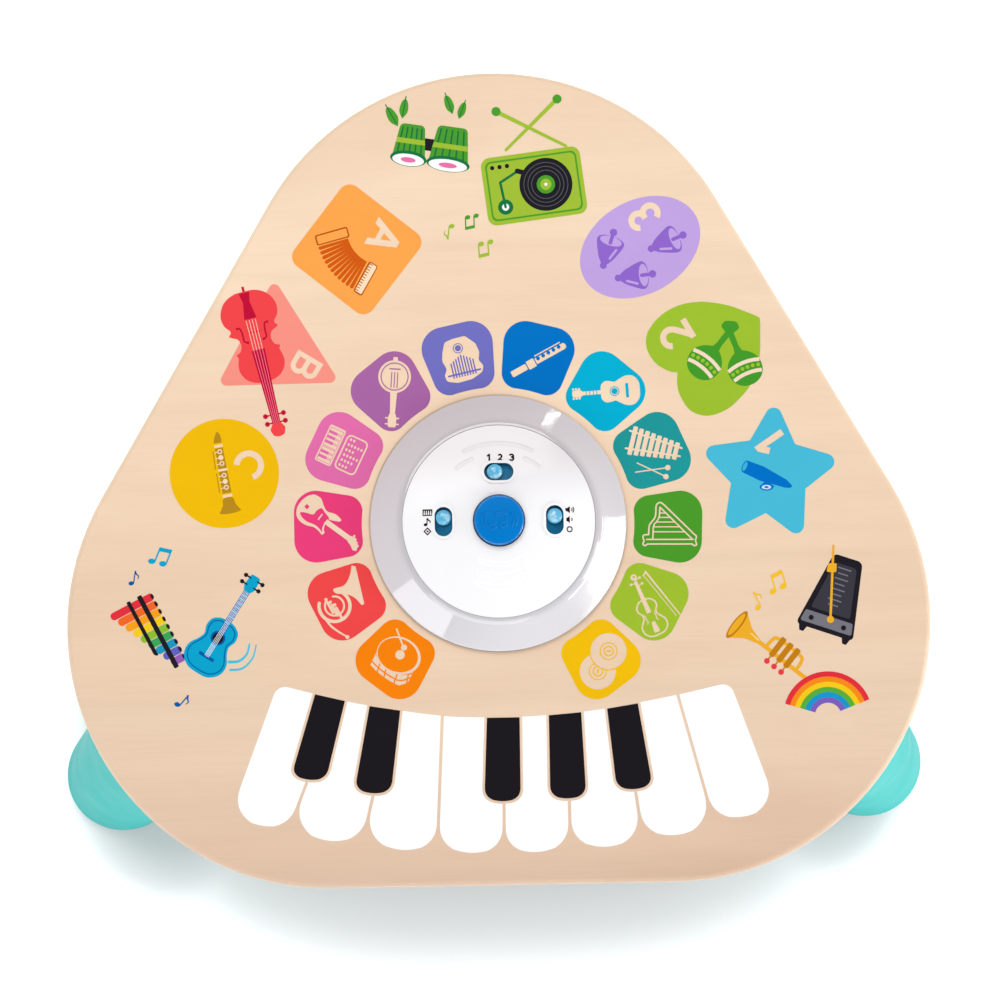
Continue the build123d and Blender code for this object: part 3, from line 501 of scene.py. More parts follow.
def circle(cx, cy, r, n=None):
    n = n or max(14, int(2 * math.pi * r / 1.6))
    return [(cx + r * math.cos(2 * math.pi * i / n), cy + r * math.sin(2 * math.pi * i / n)) for i in range(n)]


def ellipse(cx, cy, a, b, rot=0.0, n=None):
    n = n or max(18, int(2 * math.pi * max(a, b) / 1.6))
    c, s = math.cos(math.radians(rot)), math.sin(math.radians(rot))
    out = []
    for i in range(n):
        u, v = a * math.cos(2 * math.pi * i / n), b * math.sin(2 * math.pi * i / n)
        out.append((cx + u * c - v * s, cy + u * s + v * c))
    return out


def arc(cx, cy, r, a0, a1, n=None, ry=None):
    """Angles in degrees, clockwise in the image, from the image's +x."""
    n = n or max(4, int(abs(a1 - a0) / 360 * 2 * math.pi * r / 1.5) + 2)
    ry = r if ry is None else ry
    return [
        (cx + r * math.cos(math.radians(a0 + (a1 - a0) * i / n)), cy + ry * math.sin(math.radians(a0 + (a1 - a0) * i / n)))
        for i in range(n + 1)
    ]


def rounded(pts, radii, seg=8):
    """Polygon with its corners rounded."""
    n = len(pts)
    if not hasattr(radii, "__len__"):
        radii = [radii] * n
    out = []
    for i in range(n):
        p, q, r = pts[i - 1], pts[i], pts[(i + 1) % n]
        rad = radii[i]
        if rad <= 0:
            out.append(q)
            continue
        u, v = unit(q, p), unit(q, r)
        ang = math.acos(max(-1, min(1, u[0] * v[0] + u[1] * v[1])))
        d = rad / math.tan(ang / 2)
        d = min(d, 0.49 * math.dist(p, q), 0.49 * math.dist(q, r))
        rad = d * math.tan(ang / 2)
        bx, by = u[0] + v[0], u[1] + v[1]
        bl = math.hypot(bx, by)
        h = rad / math.sin(ang / 2)
        cx, cy = q[0] + bx / bl * h, q[1] + by / bl * h
        s = (q[0] + u[0] * d, q[1] + u[1] * d)
        e = (q[0] + v[0] * d, q[1] + v[1] * d)
        a0 = math.atan2(s[1] - cy, s[0] - cx)
        a1 = math.atan2(e[1] - cy, e[0] - cx)
        while a1 - a0 > math.pi:
            a1 -= 2 * math.pi
        while a1 - a0 < -math.pi:
            a1 += 2 * math.pi
        for k in range(seg + 1):
            a = a0 + (a1 - a0) * k / seg
            out.append((cx + rad * math.cos(a), cy + rad * math.sin(a)))
    return out


def smooth(pts, closed=True, per=6, corners=()):
    """Catmull-Rom curve through the points; sharp at the indices in corners."""
    n = len(pts)
    out = []
    last = n if closed else n - 1
    for i in range(last):
        p1, p2 = pts[i], pts[(i + 1) % n]
        p0 = pts[i - 1] if (closed or i > 0) else p1
        p3 = pts[(i + 2) % n] if (closed or i + 2 < n) else p2
        if i in corners:
            p0 = p1
        if (i + 1) % n in corners:
            p3 = p2
        for k in range(per):
            t = k / per
            a = [
                0.5
                * (
                    2 * p1[j]
                    + (p2[j] - p0[j]) * t
                    + (2 * p0[j] - 5 * p1[j] + 4 * p2[j] - p3[j]) * t * t
                    + (3 * p1[j] - p0[j] - 3 * p2[j] + p3[j]) * t**3
                )
                for j in (0, 1)
            ]
            out.append(tuple(a))
    if not closed:
        out.append(pts[-1])
    return out


class Print:
    """Flat artwork in image coordinates; later shapes lie over earlier ones.

    A colour of None leaves the wood bare.
    """

    def __init__(self, name):
        self.name, self.shapes = name, []

    def poly(self, pts, c):
        self.shapes.append((list(pts), c))

    def disc(self, x, y, r, c):
        self.poly(circle(x, y, r), c)

    def oval(self, x, y, a, b, rot, c):
        self.poly(ellipse(x, y, a, b, rot), c)

    def line(self, pts, w, c, cap="round", w1=None):
        """A polyline as quads with round joints; w1 is the width at its end."""
        w1 = w if w1 is None else w1
        n = len(pts)
        for i in range(n - 1):
            a, b = pts[i], pts[i + 1]
            wa = w + (w1 - w) * i / max(1, n - 1)
            wb = w + (w1 - w) * (i + 1) / max(1, n - 1)
            ux, uy = unit(a, b)
            self.poly(
                [
                    (a[0] - uy * wa / 2, a[1] + ux * wa / 2),
                    (b[0] - uy * wb / 2, b[1] + ux * wb / 2),
                    (b[0] + uy * wb / 2, b[1] - ux * wb / 2),
                    (a[0] + uy * wa / 2, a[1] - ux * wa / 2),
                ],
                c,
            )
        for i, p in enumerate(pts):
            if cap != "round" and i in (0, n - 1):
                continue
            wi = w + (w1 - w) * i / max(1, n - 1)
            self.poly(circle(p[0], p[1], wi / 2, 12), c)

    def ribbon(self, pts, w, c, cap="butt", w1=None):
        """A smooth curve given by many points, as one outline."""
        w1 = w if w1 is None else w1
        n = len(pts)
        left, right = [], []
        for i, p in enumerate(pts):
            a, b = pts[max(0, i - 1)], pts[min(n - 1, i + 1)]
            ux, uy = unit(a, b)
            h = (w + (w1 - w) * i / (n - 1)) / 2
            left.append((p[0] - uy * h, p[1] + ux * h))
            right.append((p[0] + uy * h, p[1] - ux * h))
        for i in range(n - 1):
            self.poly([left[i], left[i + 1], right[i + 1], right[i]], c)
        if cap == "round":
            self.poly(circle(*pts[0], w / 2, 14), c)
            self.poly(circle(*pts[-1], w1 / 2, 14), c)

    def ring(self, x, y, r, w, c, inside):
        self.disc(x, y, r + w / 2, c)
        self.disc(x, y, r - w / 2, inside)

    def at(self, x, y, phi=0.0, s=1.0):
        return Local(self, x, y, phi, s)


class Local:
    """Draws in a frame of its own: u to the right, v up, turned clockwise by phi."""

    def __init__(self, pr, x, y, phi, s):
        self.pr, self.x, self.y, self.s, self.phi = pr, x, y, s, phi
        self.c, self.n = math.cos(math.radians(phi)), math.sin(math.radians(phi))

    def p(self, u, v):
        return (self.x + self.s * (u * self.c + v * self.n), self.y + self.s * (u * self.n - v * self.c))

    def ps(self, pts):
        return [self.p(*q) for q in pts]

    def poly(self, pts, c, r=0):
        pts = rounded(pts, r, 6) if (hasattr(r, "__len__") or r > 0) else pts
        self.pr.poly(self.ps(pts), c)

    def blob(self, pts, c, per=6, corners=()):
        self.pr.poly(self.ps(smooth(pts, True, per, corners)), c)

    def mirror(self, half, c, per=5):
        """Closed symmetric shape from its right half, from bottom to top."""
        pts = half + [(-u, v) for u, v in reversed(half) if abs(u) > 1e-6]
        self.pr.poly(self.ps(smooth(pts, True, per)), c)

    def mirror_outline(self, half, w, c, per=5):
        pts = half + [(-u, v) for u, v in reversed(half) if abs(u) > 1e-6]
        q = smooth(pts, True, per)
        q = self.ps(q + [q[0], q[1]])
        self.pr.ribbon(q, w * self.s, c)

    def disc(self, u, v, r, c):
        self.pr.disc(*self.p(u, v), r * self.s, c)

    def oval(self, u, v, a, b, c, rot=0.0):
        self.pr.oval(*self.p(u, v), a * self.s, b * self.s, self.phi + rot, c)

    def rect(self, u0, v0, u1, v1, c, r=0):
        self.poly([(u0, v0), (u1, v0), (u1, v1), (u0, v1)], c, r)

    def line(self, pts, w, c, cap="round", w1=None):
        self.pr.line(self.ps(pts), w * self.s, c, cap, None if w1 is None else w1 * self.s)

    def curve(self, pts, w, c, cap="round", w1=None, per=6):
        q = self.ps(smooth(pts, False, per))
        self.pr.ribbon(q, w * self.s, c, cap, None if w1 is None else w1 * self.s)

    def arc(self, u, v, r, a0, a1, w, c, cap="round", rv=None):
        """Arc about (u, v); angles in degrees, anticlockwise from +u in this frame."""
        rv = r if rv is None else rv
        n = max(6, int(abs(a1 - a0) / 9))
        pts = []
        for i in range(n + 1):
            a = math.radians(a0 + (a1 - a0) * i / n)
            pts.append((u + r * math.cos(a), v + rv * math.sin(a)))
        self.pr.ribbon(self.ps(pts), w * self.s, c, cap)

    def loop(self, u, v, r, w, c):
        self.arc(u, v, r, 0, 362, w, c, "butt")


def build(pr, z=None, lift=0.05, sink=0.03, body="root", space="image"):
    """Flattens the shapes and makes one thin closed mesh with a material per colour."""
    verts, faces, cols = [], [], []
    for pts, c in pr.shapes:
        q = [on_plane(*p) for p in pts] if space == "image" else list(pts)
        area = sum(q[i - 1][0] * q[i][1] - q[i][0] * q[i - 1][1] for i in range(len(q)))
        if abs(area) < 1e-3:
            continue
        if area < 0:
            q.reverse()
        faces.append(list(range(len(verts), len(verts) + len(q))))
        verts += [Vector(p) for p in q]
        cols.append(c)
    vc, _, fc, _, _, of = delaunay_2d_cdt(verts, [], faces, 1, 1e-4, True)
    palette, keep, index = [], [], []
    for f, src in zip(fc, of):
        if not src:
            continue
        c = cols[max(src)]
        if c is None:
            continue
        a, b, d = (vc[i] for i in f[:3])
        if (b.x - a.x) * (d.y - a.y) - (d.x - a.x) * (b.y - a.y) < 0:
            f = list(reversed(f))
        if tuple(c) not in palette:
            palette.append(tuple(c))
        keep.append(tuple(f))
        index.append(palette.index(tuple(c)))
    used = sorted({i for f in keep for i in f})
    new = {v: k for k, v in enumerate(used)}
    n = len(used)
    co = []
    for dz in (lift, -sink):
        for i in used:
            x, y = vc[i].x, vc[i].y
            h = z(x, y) if z else 0.0
            co.append((AX + x / 1000, AY + y / 1000, TOP + (h + dz) / 1000))
    directed = {(f[i], f[(i + 1) % len(f)]) for f in keep for i in range(len(f))}
    out, mi = [], []
    for f, k in zip(keep, index):
        t = [new[i] for i in f]
        out.append(t)
        mi.append(k)
        out.append([i + n for i in reversed(t)])
        mi.append(k)
        for i in range(len(f)):
            a, b = f[i], f[(i + 1) % len(f)]
            if (b, a) not in directed:
                out.append([new[b], new[a], new[a] + n, new[b] + n])
                mi.append(k)
    me = bpy.data.meshes.new(pr.name)
    me.from_pydata(co, [], out)
    for c in palette:
        me.materials.append(ink(c))
    me.polygons.foreach_set("material_index", mi)
    me.update()
    ob = bpy.data.objects.new(pr.name, me)
    scene.collection.objects.link(ob)
    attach(ob, body)
    return ob


# ---------------------------------------------------------------- glyphs
def glyph(L, ch, h, w, t, c):
    """Plain stroke characters in a box of w by h centred on L's origin."""
    H, W = h / 2 - t / 2, w / 2 - t / 2
    if ch == "A":
        k = t * 1.16
        for q in (-1, 1):
            L.poly([(q * w / 2, -h / 2), (q * (w / 2 - k), -h / 2), (-q * k * 0.42, h / 2), (q * k * 0.42, h / 2)], c)
        L.poly([(-w * 0.34, -h * 0.27), (w * 0.34, -h * 0.27), (w * 0.27, -h * 0.27 + t * 0.86), (-w * 0.27, -h * 0.27 + t * 0.86)], c)
    elif ch == "B":
        L.line([(-W, -h / 2), (-W, h / 2)], t, c, "butt")
        a = W * 0.95
        for v0, v1, b in ((0, H, a), (-H, 0, a * 1.15)):
            m, r = (v0 + v1) / 2, (v1 - v0) / 2
            L.line([(-W, v1), (b - r, v1)], t, c, "butt")
            L.line([(-W, v0), (b - r, v0)], t, c, "butt")
            L.arc(b - r, m, r, 92, -92, t, c, "butt")
    elif ch == "C":
        L.arc(0, 0, min(H, W * 1.2), 42, 318, t, c, "butt")
    elif ch == "1":
        L.line([(W * 0.3, -h / 2), (W * 0.3, h / 2)], t, c, "butt")
        x0 = W * 0.3 + t / 2
        L.poly([(x0, h / 2), (x0 - t, h / 2), (-w / 2, h / 2 - w * 0.86), (-w / 2, h / 2 - w * 0.86 - t * 1.3), (x0, h / 2 - t * 1.4)], c)
    elif ch == "2":
        r = W
        L.arc(0, H - r, r, 158, -28, t, c, "butt")
        x0, y0 = r * math.cos(math.radians(-24)), H - r + r * math.sin(math.radians(-24))
        L.curve([(x0, y0), (x0 - W * 0.35, y0 - H * 0.30), (-W * 0.95, -H)], t, c, "butt")
        L.line([(-W - t * 0.42, -H), (W + t * 0.3, -H)], t, c, "butt")
    elif ch == "3":
        r, d = (h - t) / 4 + 0.25, (h / 2 - t / 2) / 2 - 0.15
        L.arc(0, d, r, 160, -80, t, c, "butt")
        L.arc(0, -d, r * 1.03, 82, -156, t, c, "butt")
        L.line([(-r * 0.25, 0.1), (r * 0.2, 0.1)], t, c, "butt")


def note(P, x, y, s, phi, c, double=False):
    L = P.at(x, y, phi, s)
    if double:
        L.oval(-4.6, -6.4, 2.9, 2.2, c, -18)
        L.oval(4.4, -5.0, 2.9, 2.2, c, -18)
        L.line([(-2.2, -6.0), (-2.2, 6.0)], 1.3, c, "butt")
        L.line([(6.8, -4.6), (6.8, 7.6)], 1.3, c, "butt")
        L.poly([(-2.85, 6.4), (7.45, 8.2), (7.45, 5.0), (-2.85, 3.2)], c)
    else:
        L.oval(-2.2, -6.4, 3.0, 2.3, c, -18)
        L.line([(0.4, -6.0), (0.4, 8.0)], 1.3, c, "butt")
        L.curve([(0.2, 7.4), (2.2, 4.4), (4.8, 2.6), (4.2, -1.0)], 2.2, c, "butt", 0.7)


# ---------------------------------------------------------------- instrument tiles
TILE_C = (498.1, 523.5)


def tile(alpha, c, name):
    P = Print("tile_" + name)
    a = math.radians(alpha)
    x, y = TILE_C[0] + 171.1 * math.sin(a), TILE_C[1] - 171.1 * math.cos(a)
    L = P.at(x, y, alpha)
    pts = [(-40.0, 32.9), (40.0, 32.9), (28.4, -35.7), (-28.4, -35.7)]
    q = rounded(pts, [22, 22, 16, 16], 10)
    # The side towards the control unit follows its edge.
    edge = [(u, -35.7 + 0.9 * (1 - (u / 15.0) ** 2)) for u in range(14, -15, -2)]
    k = next(i for i in range(len(q)) if q[i][1] < -35.6 and abs(q[i - 1][1] - q[i][1]) < 0.3 and q[i][0] < 15.5 and q[i][0] > 0)
    q = q[: k + 1] + edge + q[k + 1 :]
    P.poly(L.ps(q), c)
    return P, x, y, L


BLUE, CYAN, TEAL = (1, 116, 200), (3, 179, 215), (33, 153, 155)
GREEN, LIME, YELLOW = (76, 156, 44), (161, 193, 50), (245, 192, 14)
VIOLET, PURPLE, PINK = (116, 114, 195), (172, 104, 167), (230, 111, 173)
MAGENTA, RED, ORANGE = (238, 64, 124), (243, 73, 74), (252, 133, 12)

prints = []

# flute
P, x, y, _ = tile(13, BLUE, "flute")
L = P.at(539.1, 359.6, 60.9)
L.rect(-3.2, -31.2, 3.2, -14.2, None, 1.2)
L.rect(-4.5, -13.2, 4.5, -4.8, None, 1.0)
L.rect(-3.2, -3.8, 3.2, 30.4, None, [0.4, 0.4, 2.8, 2.8])
for k in range(5):
    L.disc(-1.5, -0.4 + 5.9 * k, 1.9, BLUE)
    L.rect(-3.6, -1.6 + 5.9 * k, -1.8, 0.8 + 5.9 * k, BLUE)
L.line([(-5.2, -2.0), (-5.2, 26.0)], 1.3, None)
prints.append(P)

# acoustic guitar
P, x, y, _ = tile(39, CYAN, "guitar")
L = P.at(605.6, 391.8, -94.2)
L.mirror([(0, -34.4), (8, -33.6), (14.0, -28.5), (14.8, -21), (11.6, -13.6), (9.4, -9.6), (10.4, -5), (10.6, 0), (7.4, 4.0), (2.5, 4.8)], None)
L.rect(-1.9, 4, 1.9, 24, None)
L.poly([(-2, 23), (-3.9, 25.4), (-3.2, 33.4), (3.2, 33.4), (3.9, 25.4), (2, 23)], None, [0, 1, 1.5, 1.5, 1, 0])
for v in (26.4, 29.4, 32.2):
    for s in (-1, 1):
        L.disc(s * 4.7, v, 1.15, None)
L.disc(0, -9.0, 4.9, CYAN)
L.disc(0, -9.0, 4.1, None)
L.disc(0, -9.0, 3.2, CYAN)
L.rect(-7.2, -23.1, 7.2, -20.1, CYAN, 1.0)
for v in (8.5, 12, 15.5, 19):
    L.rect(-1.9, v, 1.9, v + 0.7, CYAN)
prints.append(P)

# xylophone
P, x, y, _ = tile(65, TEAL, "xylophone")
L = P.at(655.0, 446.0, 13.5)
n = 8
for k in range(n):
    u = -23.0 + k * 6.35
    h = 14.6 - 0.83 * k
    L.rect(u - 2.3, -h, u + 2.3, h, None, 1.0)
L.line([(-28, 9.0), (26.5, 4.2)], 2.0, None)
L.line([(-28, -9.0), (26.5, -4.2)], 2.0, None)
for a, b in (((637.2, 463.0), (666.0, 476.6)), ((635.6, 472.2), (667.8, 467.6))):
    P.line([a, b], 1.3, None)
    P.disc(*b, 2.8, None)
prints.append(P)

# harp
P, x, y, _ = tile(91, GREEN, "harp")
post = [(659.9, 502.4), (656.4, 505.2), (655.4, 516.0), (652.4, 521.0), (649.4, 525.4), (648.6, 534.6)]
P.ribbon(smooth(post, False, 5), 1.6, None, "round")
P.ribbon(smooth([(648.6, 534.6), (644.2, 535.0), (642.9, 537.2), (644.0, 540.8), (642.9, 544.0), (645.0, 545.6), (647.4, 544.0)], False, 4), 1.6, None, "round")
P.line([(647.4, 544.0), (692.2, 544.0)], 1.6, None)
P.ribbon(smooth([(692.2, 544.0), (694.4, 545.6), (696.6, 544.4), (695.6, 540.4), (696.4, 536.4), (694.4, 534.4)], False, 4), 1.6, None, "round")
P.ribbon(smooth([(659.9, 502.4), (662.8, 503.8), (670.0, 510.6), (694.4, 534.4)], False, 5), 1.6, None, "round")
P.ribbon(smooth([(660.0, 507.2), (659.2, 516.6), (656.6, 521.6), (653.6, 526.0), (652.8, 539.0)], False, 5), 1.5, None, "round")
P.line([(660.0, 507.2), (691.6, 538.4)], 1.5, None)
P.line([(646.6, 539.4), (693.4, 539.4)], 1.5, None)
for y0, x0, x1 in ((513.0, 659.6, 666.0), (517.4, 658.8, 670.4), (522.0, 656.6, 675.0), (526.8, 653.6, 680.0), (531.8, 653.0, 685.0)):
    P.line([(x0, y0), (x1, y0)], 1.25, None, "butt")
prints.append(P)

# violin and bow
P, x, y, _ = tile(117, LIME, "violin")
L = P.at(645.6, 604.6, -23.8)
half = [(0, -32.6), (7.5, -31.6), (12.2, -26.8), (12.6, -20.6), (9.4, -15.6), (7.2, -12.6), (7.4, -8.6), (9.8, -5.0), (9.8, -0.4), (6.0, 4.0), (2.0, 5.0)]
L.mirror_outline(half, 1.7, None)
L.poly([(-1.6, 25.5), (1.6, 25.5), (2.5, -9.0), (-2.5, -9.0)], None)
L.disc(0, 29.6, 3.3, None)
L.disc(0.2, 30.0, 1.1, LIME)
for v, s in ((26.2, 1), (23.0, -1), (19.9, 1)):
    L.line([(0, v), (s * 4.6, v + 0.9)], 1.1, None)
    L.disc(s * 5.4, v + 1.0, 1.4, None)
L.poly([(-1.8, -18.6), (1.8, -18.6), (3.3, -29.8), (-3.3, -29.8)], None, [0, 0, 1.4, 1.4])
for s in (-1, 1):
    L.curve([(s * 5.8, -9.6), (s * 5.0, -11.6), (s * 5.2, -14.4), (s * 4.6, -17.0), (s * 6.0, -18.6)], 1.1, None)
P.line([(645.4, 571.6), (680.2, 614.6)], 1.9, None, "round", 1.3)
P.line([(643.6, 575.6), (676.4, 615.6)], 0.9, None, "butt")
P.line([(643.2, 575.8), (645.8, 571.2)], 1.5, None)
prints.append(P)

# cymbals
P, x, y, _ = tile(143, YELLOW, "cymbals")
for cx, cy, turn_ in ((597.8, 671.4, 100.0), (608.6, 651.2, 0.0)):
    P.disc(cx, cy, 19.3, YELLOW)
    P.disc(cx, cy, 18.1, None)
    P.ring(cx, cy, 8.4, 1.0, YELLOW, None)
    P.ring(cx, cy, 4.7, 1.2, YELLOW, None)
    P.at(cx, cy, turn_).rect(-2.3, -0.8, 2.3, 0.8, YELLOW, 0.5)
prints.append(P)

# kalimba
P, x, y, _ = tile(-13, VIOLET, "kalimba")
L = P.at(461.2, 358.6, -13.4)
L.poly([(-12.6, 19.6), (-4.0, 21.2), (8.6, 21.4), (17.4, 11.6), (19.2, 2.4), (16.6, -5.4), (20.0, -11.6), (18.0, -17.6), (6.4, -22.4), (-8.6, -23.0), (-19.0, -19.4), (-20.0, -13.0), (-16.4, -7.0), (-19.2, 1.6), (-17.0, 10.0)], None, [4, 8, 4, 6, 7, 4, 4, 6, 12, 12, 4, 4, 4, 7, 9])
L.disc(-0.8, 10.8, 5.1, VIOLET)
L.disc(-0.8, 10.8, 4.3, None)
L.disc(-0.8, 10.8, 3.1, VIOLET)
for k, top in enumerate((-1.6, 0.2, 1.8, 3.4, 5.0, 3.4, 1.8, 0.2, -1.6)):
    u = -11.2 + 2.8 * k
    L.line([(u, -17.4), (u, top - 1.6)], 1.4, VIOLET)
L.line([(-16.2, -14.6), (16.2, -14.6)], 1.7, VIOLET)
prints.append(P)

# banjo
P, x, y, _ = tile(-39, PURPLE, "banjo")
L = P.at(394.6, 376.6, 183.4)
L.rect(-2.3, -19.6, 2.3, -13.0, None, 0.9)
L.poly([(-3.6, 13.0), (3.6, 13.0), (2.4, 40.0), (-2.4, 40.0)], None)
L.disc(0, 0, 16.4, None)
L.loop(0, 0, 13.5, 1.1, PURPLE)
for u in (-3.0, 0.0, 3.0):
    L.line([(u, -4.4), (u, 11.2)], 1.0, PURPLE, "butt")
L.line([(-5.2, -7.6), (5.2, -7.6)], 1.3, PURPLE)
L.poly([(-2.9, 37.0), (2.9, 37.0), (4.4, 41.5), (3.9, 50.8), (-3.9, 50.8), (-4.4, 41.5)], None, [0, 0, 1, 1.6, 1.6, 1])
for v in (41.6, 47.6):
    for s in (-1, 1):
        L.line([(0, v), (s * 6.4, v)], 1.5, None)
prints.append(P)

# keyboard with pads
P, x, y, L = tile(-65, PINK, "keyboard")
L.rect(-19.6, 5.2, 19.6, 22.6, None, 2.0)
for k in range(7):
    u = -18.2 + 5.2 * k
    L.rect(u, 6.6, u + 4.4, 21.2, PINK, 0.6)
    L.rect(u + 0.55, 7.1, u + 3.85, 20.7, None, 0.4)
for k in (0, 1, 3, 4, 5):
    u = -18.2 + 5.2 * (k + 1) - 0.4
    L.rect(u - 1.5, 12.2, u + 1.5, 21.2, PINK, 0.4)
L.rect(-18.6, -20.6, 18.6, 2.4, None, 5.0)
L.rect(-17.1, -19.1, 17.1, 0.9, PINK, 3.8)
for i, count in enumerate((3, 4, 5, 3, 5, 2)):
    for j in range(count):
        L.oval(-13.6 + 5.5 * i, -2.4 - 3.5 * j, 1.45, 1.1, None)
prints.append(P)

# electric guitar
P, x, y, _ = tile(-91, MAGENTA, "electric_guitar")
def cg(pts):
    return [(280.0 + u / 4.524, 480.0 + v / 4.524) for u, v in pts]


P.poly(smooth(cg([(160, 67), (186, 84), (198, 116), (214, 142), (250, 154), (276, 178), (270, 188), (240, 184), (214, 180), (202, 206), (198, 226), (202, 238), (190, 249), (172, 228), (152, 213), (120, 205), (92, 188), (75, 162), (76, 130), (92, 100), (122, 74), (144, 67)]), True, 4, (12, 13)), None)
P.poly(smooth(cg([(92, 146), (98, 166), (122, 188), (156, 202), (178, 220), (190, 238), (192, 214), (206, 188), (222, 174), (204, 148), (188, 128), (166, 138), (150, 156), (118, 148)]), True, 4, (5,)), MAGENTA)
P.line(cg([(174, 178), (190, 156)]), 1.4, None)
P.poly(cg([(110, 120), (122, 108), (134, 120), (122, 134)]), MAGENTA)
P.poly(cg([(198, 196), (214, 178), (322, 256), (308, 276)]), None)
P.poly(rounded(cg([(318, 252), (338, 260), (352, 292), (346, 322), (328, 318), (320, 298), (304, 276)]), 1.2, 3), None)
for k in range(4):
    P.disc(*cg([(336 + 5 * k, 254 + 15 * k)])[0], 1.25, None)
prints.append(P)

# french horn
P, x, y, _ = tile(-117, RED, "horn")
P.ribbon(arc(334.5, 606.0, 15.5, -78, 190), 3.4, None, "round")
P.ribbon(arc(334.5, 606.0, 9.6, -100, 215), 2.0, None, "round")
P.ribbon(smooth([(335.5, 590.6), (342.0, 588.6), (347.5, 583.0), (351.0, 575.0), (352.4, 566.4)], False, 6), 2.4, None, "round", 2.0)
P.poly(
    smooth([(333.5, 589.0), (343.5, 585.6), (350.2, 577.2), (352.8, 566.0), (355.6, 566.4), (364.4, 604.0), (361.6, 605.2), (355.0, 598.0), (346.5, 594.2), (336.5, 593.6)], True, 5, (3, 4, 5, 6)),
    None,
)
P.ribbon(smooth([(325.6, 618.4), (331.0, 626.0), (339.0, 632.0), (346.6, 636.4)], False, 6), 2.6, None, "round", 1.6)
P.disc(347.4, 637.0, 2.1, None)
for k in range(3):
    a, b = (327.5 + 4.4 * k, 602.6 + 2.6 * k), (333.0 + 4.4 * k, 612.8 + 2.6 * k)
    P.line([a, b], 2.6, None)
    P.disc(a[0] - 1.6, a[1] - 3.0, 1.7, None)
prints.append(P)

# drum and stick
P, x, y, _ = tile(-143, ORANGE, "drum")
def cr(pts):
    return [(280.0 + u / 4.524, 480.0 + v / 4.524) for u, v in pts]


P.poly(smooth(cr([(452, 758), (428, 796), (409, 836), (440, 868), (486, 903), (536, 930), (576, 917), (594, 886), (600, 866), (562, 870), (520, 854), (488, 824), (466, 790)]), True, 4, (2, 5, 7)), None)
for q in ([(470, 776), (438, 872)], [(489, 820), (468, 900)], [(537, 858), (513, 926)], [(584, 866), (572, 922)]):
    P.line(cr(q), 1.3, ORANGE, "butt")
P.ribbon(smooth(cr([(414, 818), (446, 850), (492, 884), (542, 908), (590, 894)]), False, 5), 1.3, ORANGE)
P.ribbon(smooth(cr([(436, 792), (466, 830), (504, 858), (548, 878), (598, 876)]), False, 5), 1.3, ORANGE)
P.oval(*cr([(537, 794)])[0], 22.6, 18.6, 21.0, None)
P.oval(*cr([(533, 792)])[0], 20.6, 16.6, 21.0, ORANGE)
P.line(cr([(528, 675), (553, 742)]), 1.8, None)
P.disc(*cr([(561, 758)])[0], 3.2, None)
P.disc(*cr([(543, 791)])[0], 4.8, None)
prints.append(P)

# ---------------------------------------------------------------- shapes with letters and digits
SAND = None

P = Print("shape_square")
OR, ORD, ORM = (255, 168, 79), (190, 84, 12), (214, 92, 18)
P.poly(rounded([(347.6, 179.6), (426.2, 240.2), (365.6, 319.2), (287.3, 258.8)], 12, 10), OR)
L = P.at(384.8, 237.6, 119.0)
glyph(L, "A", 30.5, 31.0, 6.3, None)
px_, py_ = 384.5, 227.9
for k in range(1):
    fan = arc(px_, py_, 38.0, 164.0, 117.5, 14) + list(reversed(arc(px_, py_, 68.0, 164.0, 117.5, 18)))
    P.poly(fan, ORM)
for k in range(10):
    a = 160.4 - 4.35 * k
    w = 0.62
    P.poly(
        [
            (px_ + 44 * math.cos(math.radians(a)), py_ + 44 * math.sin(math.radians(a))),
            (px_ + 68.6 * math.cos(math.radians(a + w)), py_ + 68.6 * math.sin(math.radians(a + w))),
            (px_ + 68.6 * math.cos(math.radians(a - w)), py_ + 68.6 * math.sin(math.radians(a - w))),
        ],
        OR,
    )
for k in range(11):
    a = 162.6 - 4.35 * k
    P.disc(px_ + 67.4 * math.cos(math.radians(a)), py_ + 67.4 * math.sin(math.radians(a)), 1.7, ORM)
q = rounded([(314.4, 235.6), (347.0, 226.4), (350.0, 237.0), (317.2, 246.0)], 2.2, 5)
P.poly(q, ORD)
P.poly(rounded([(316.2, 236.6), (346.0, 228.2), (348.2, 236.0), (318.4, 244.4)], 1.2, 4), OR)
P.poly(rounded([(369.4, 260.8), (378.2, 266.4), (361.6, 296.4), (353.0, 291.0)], 2.4, 5), ORD)
P.poly(rounded([(370.4, 262.8), (376.8, 266.8), (361.2, 294.4), (354.8, 290.4)], 1.2, 4), (252, 226, 190))
for k in range(11):
    t = (k + 0.5) / 11
    ax_, ay_ = 370.0 + (354.2 - 370.0) * t, 262.4 + (290.0 - 262.4) * t
    P.line([(ax_, ay_), (ax_ + 3.4, ay_ + 2.0)], 0.95, ORD, "butt")
prints.append(P)

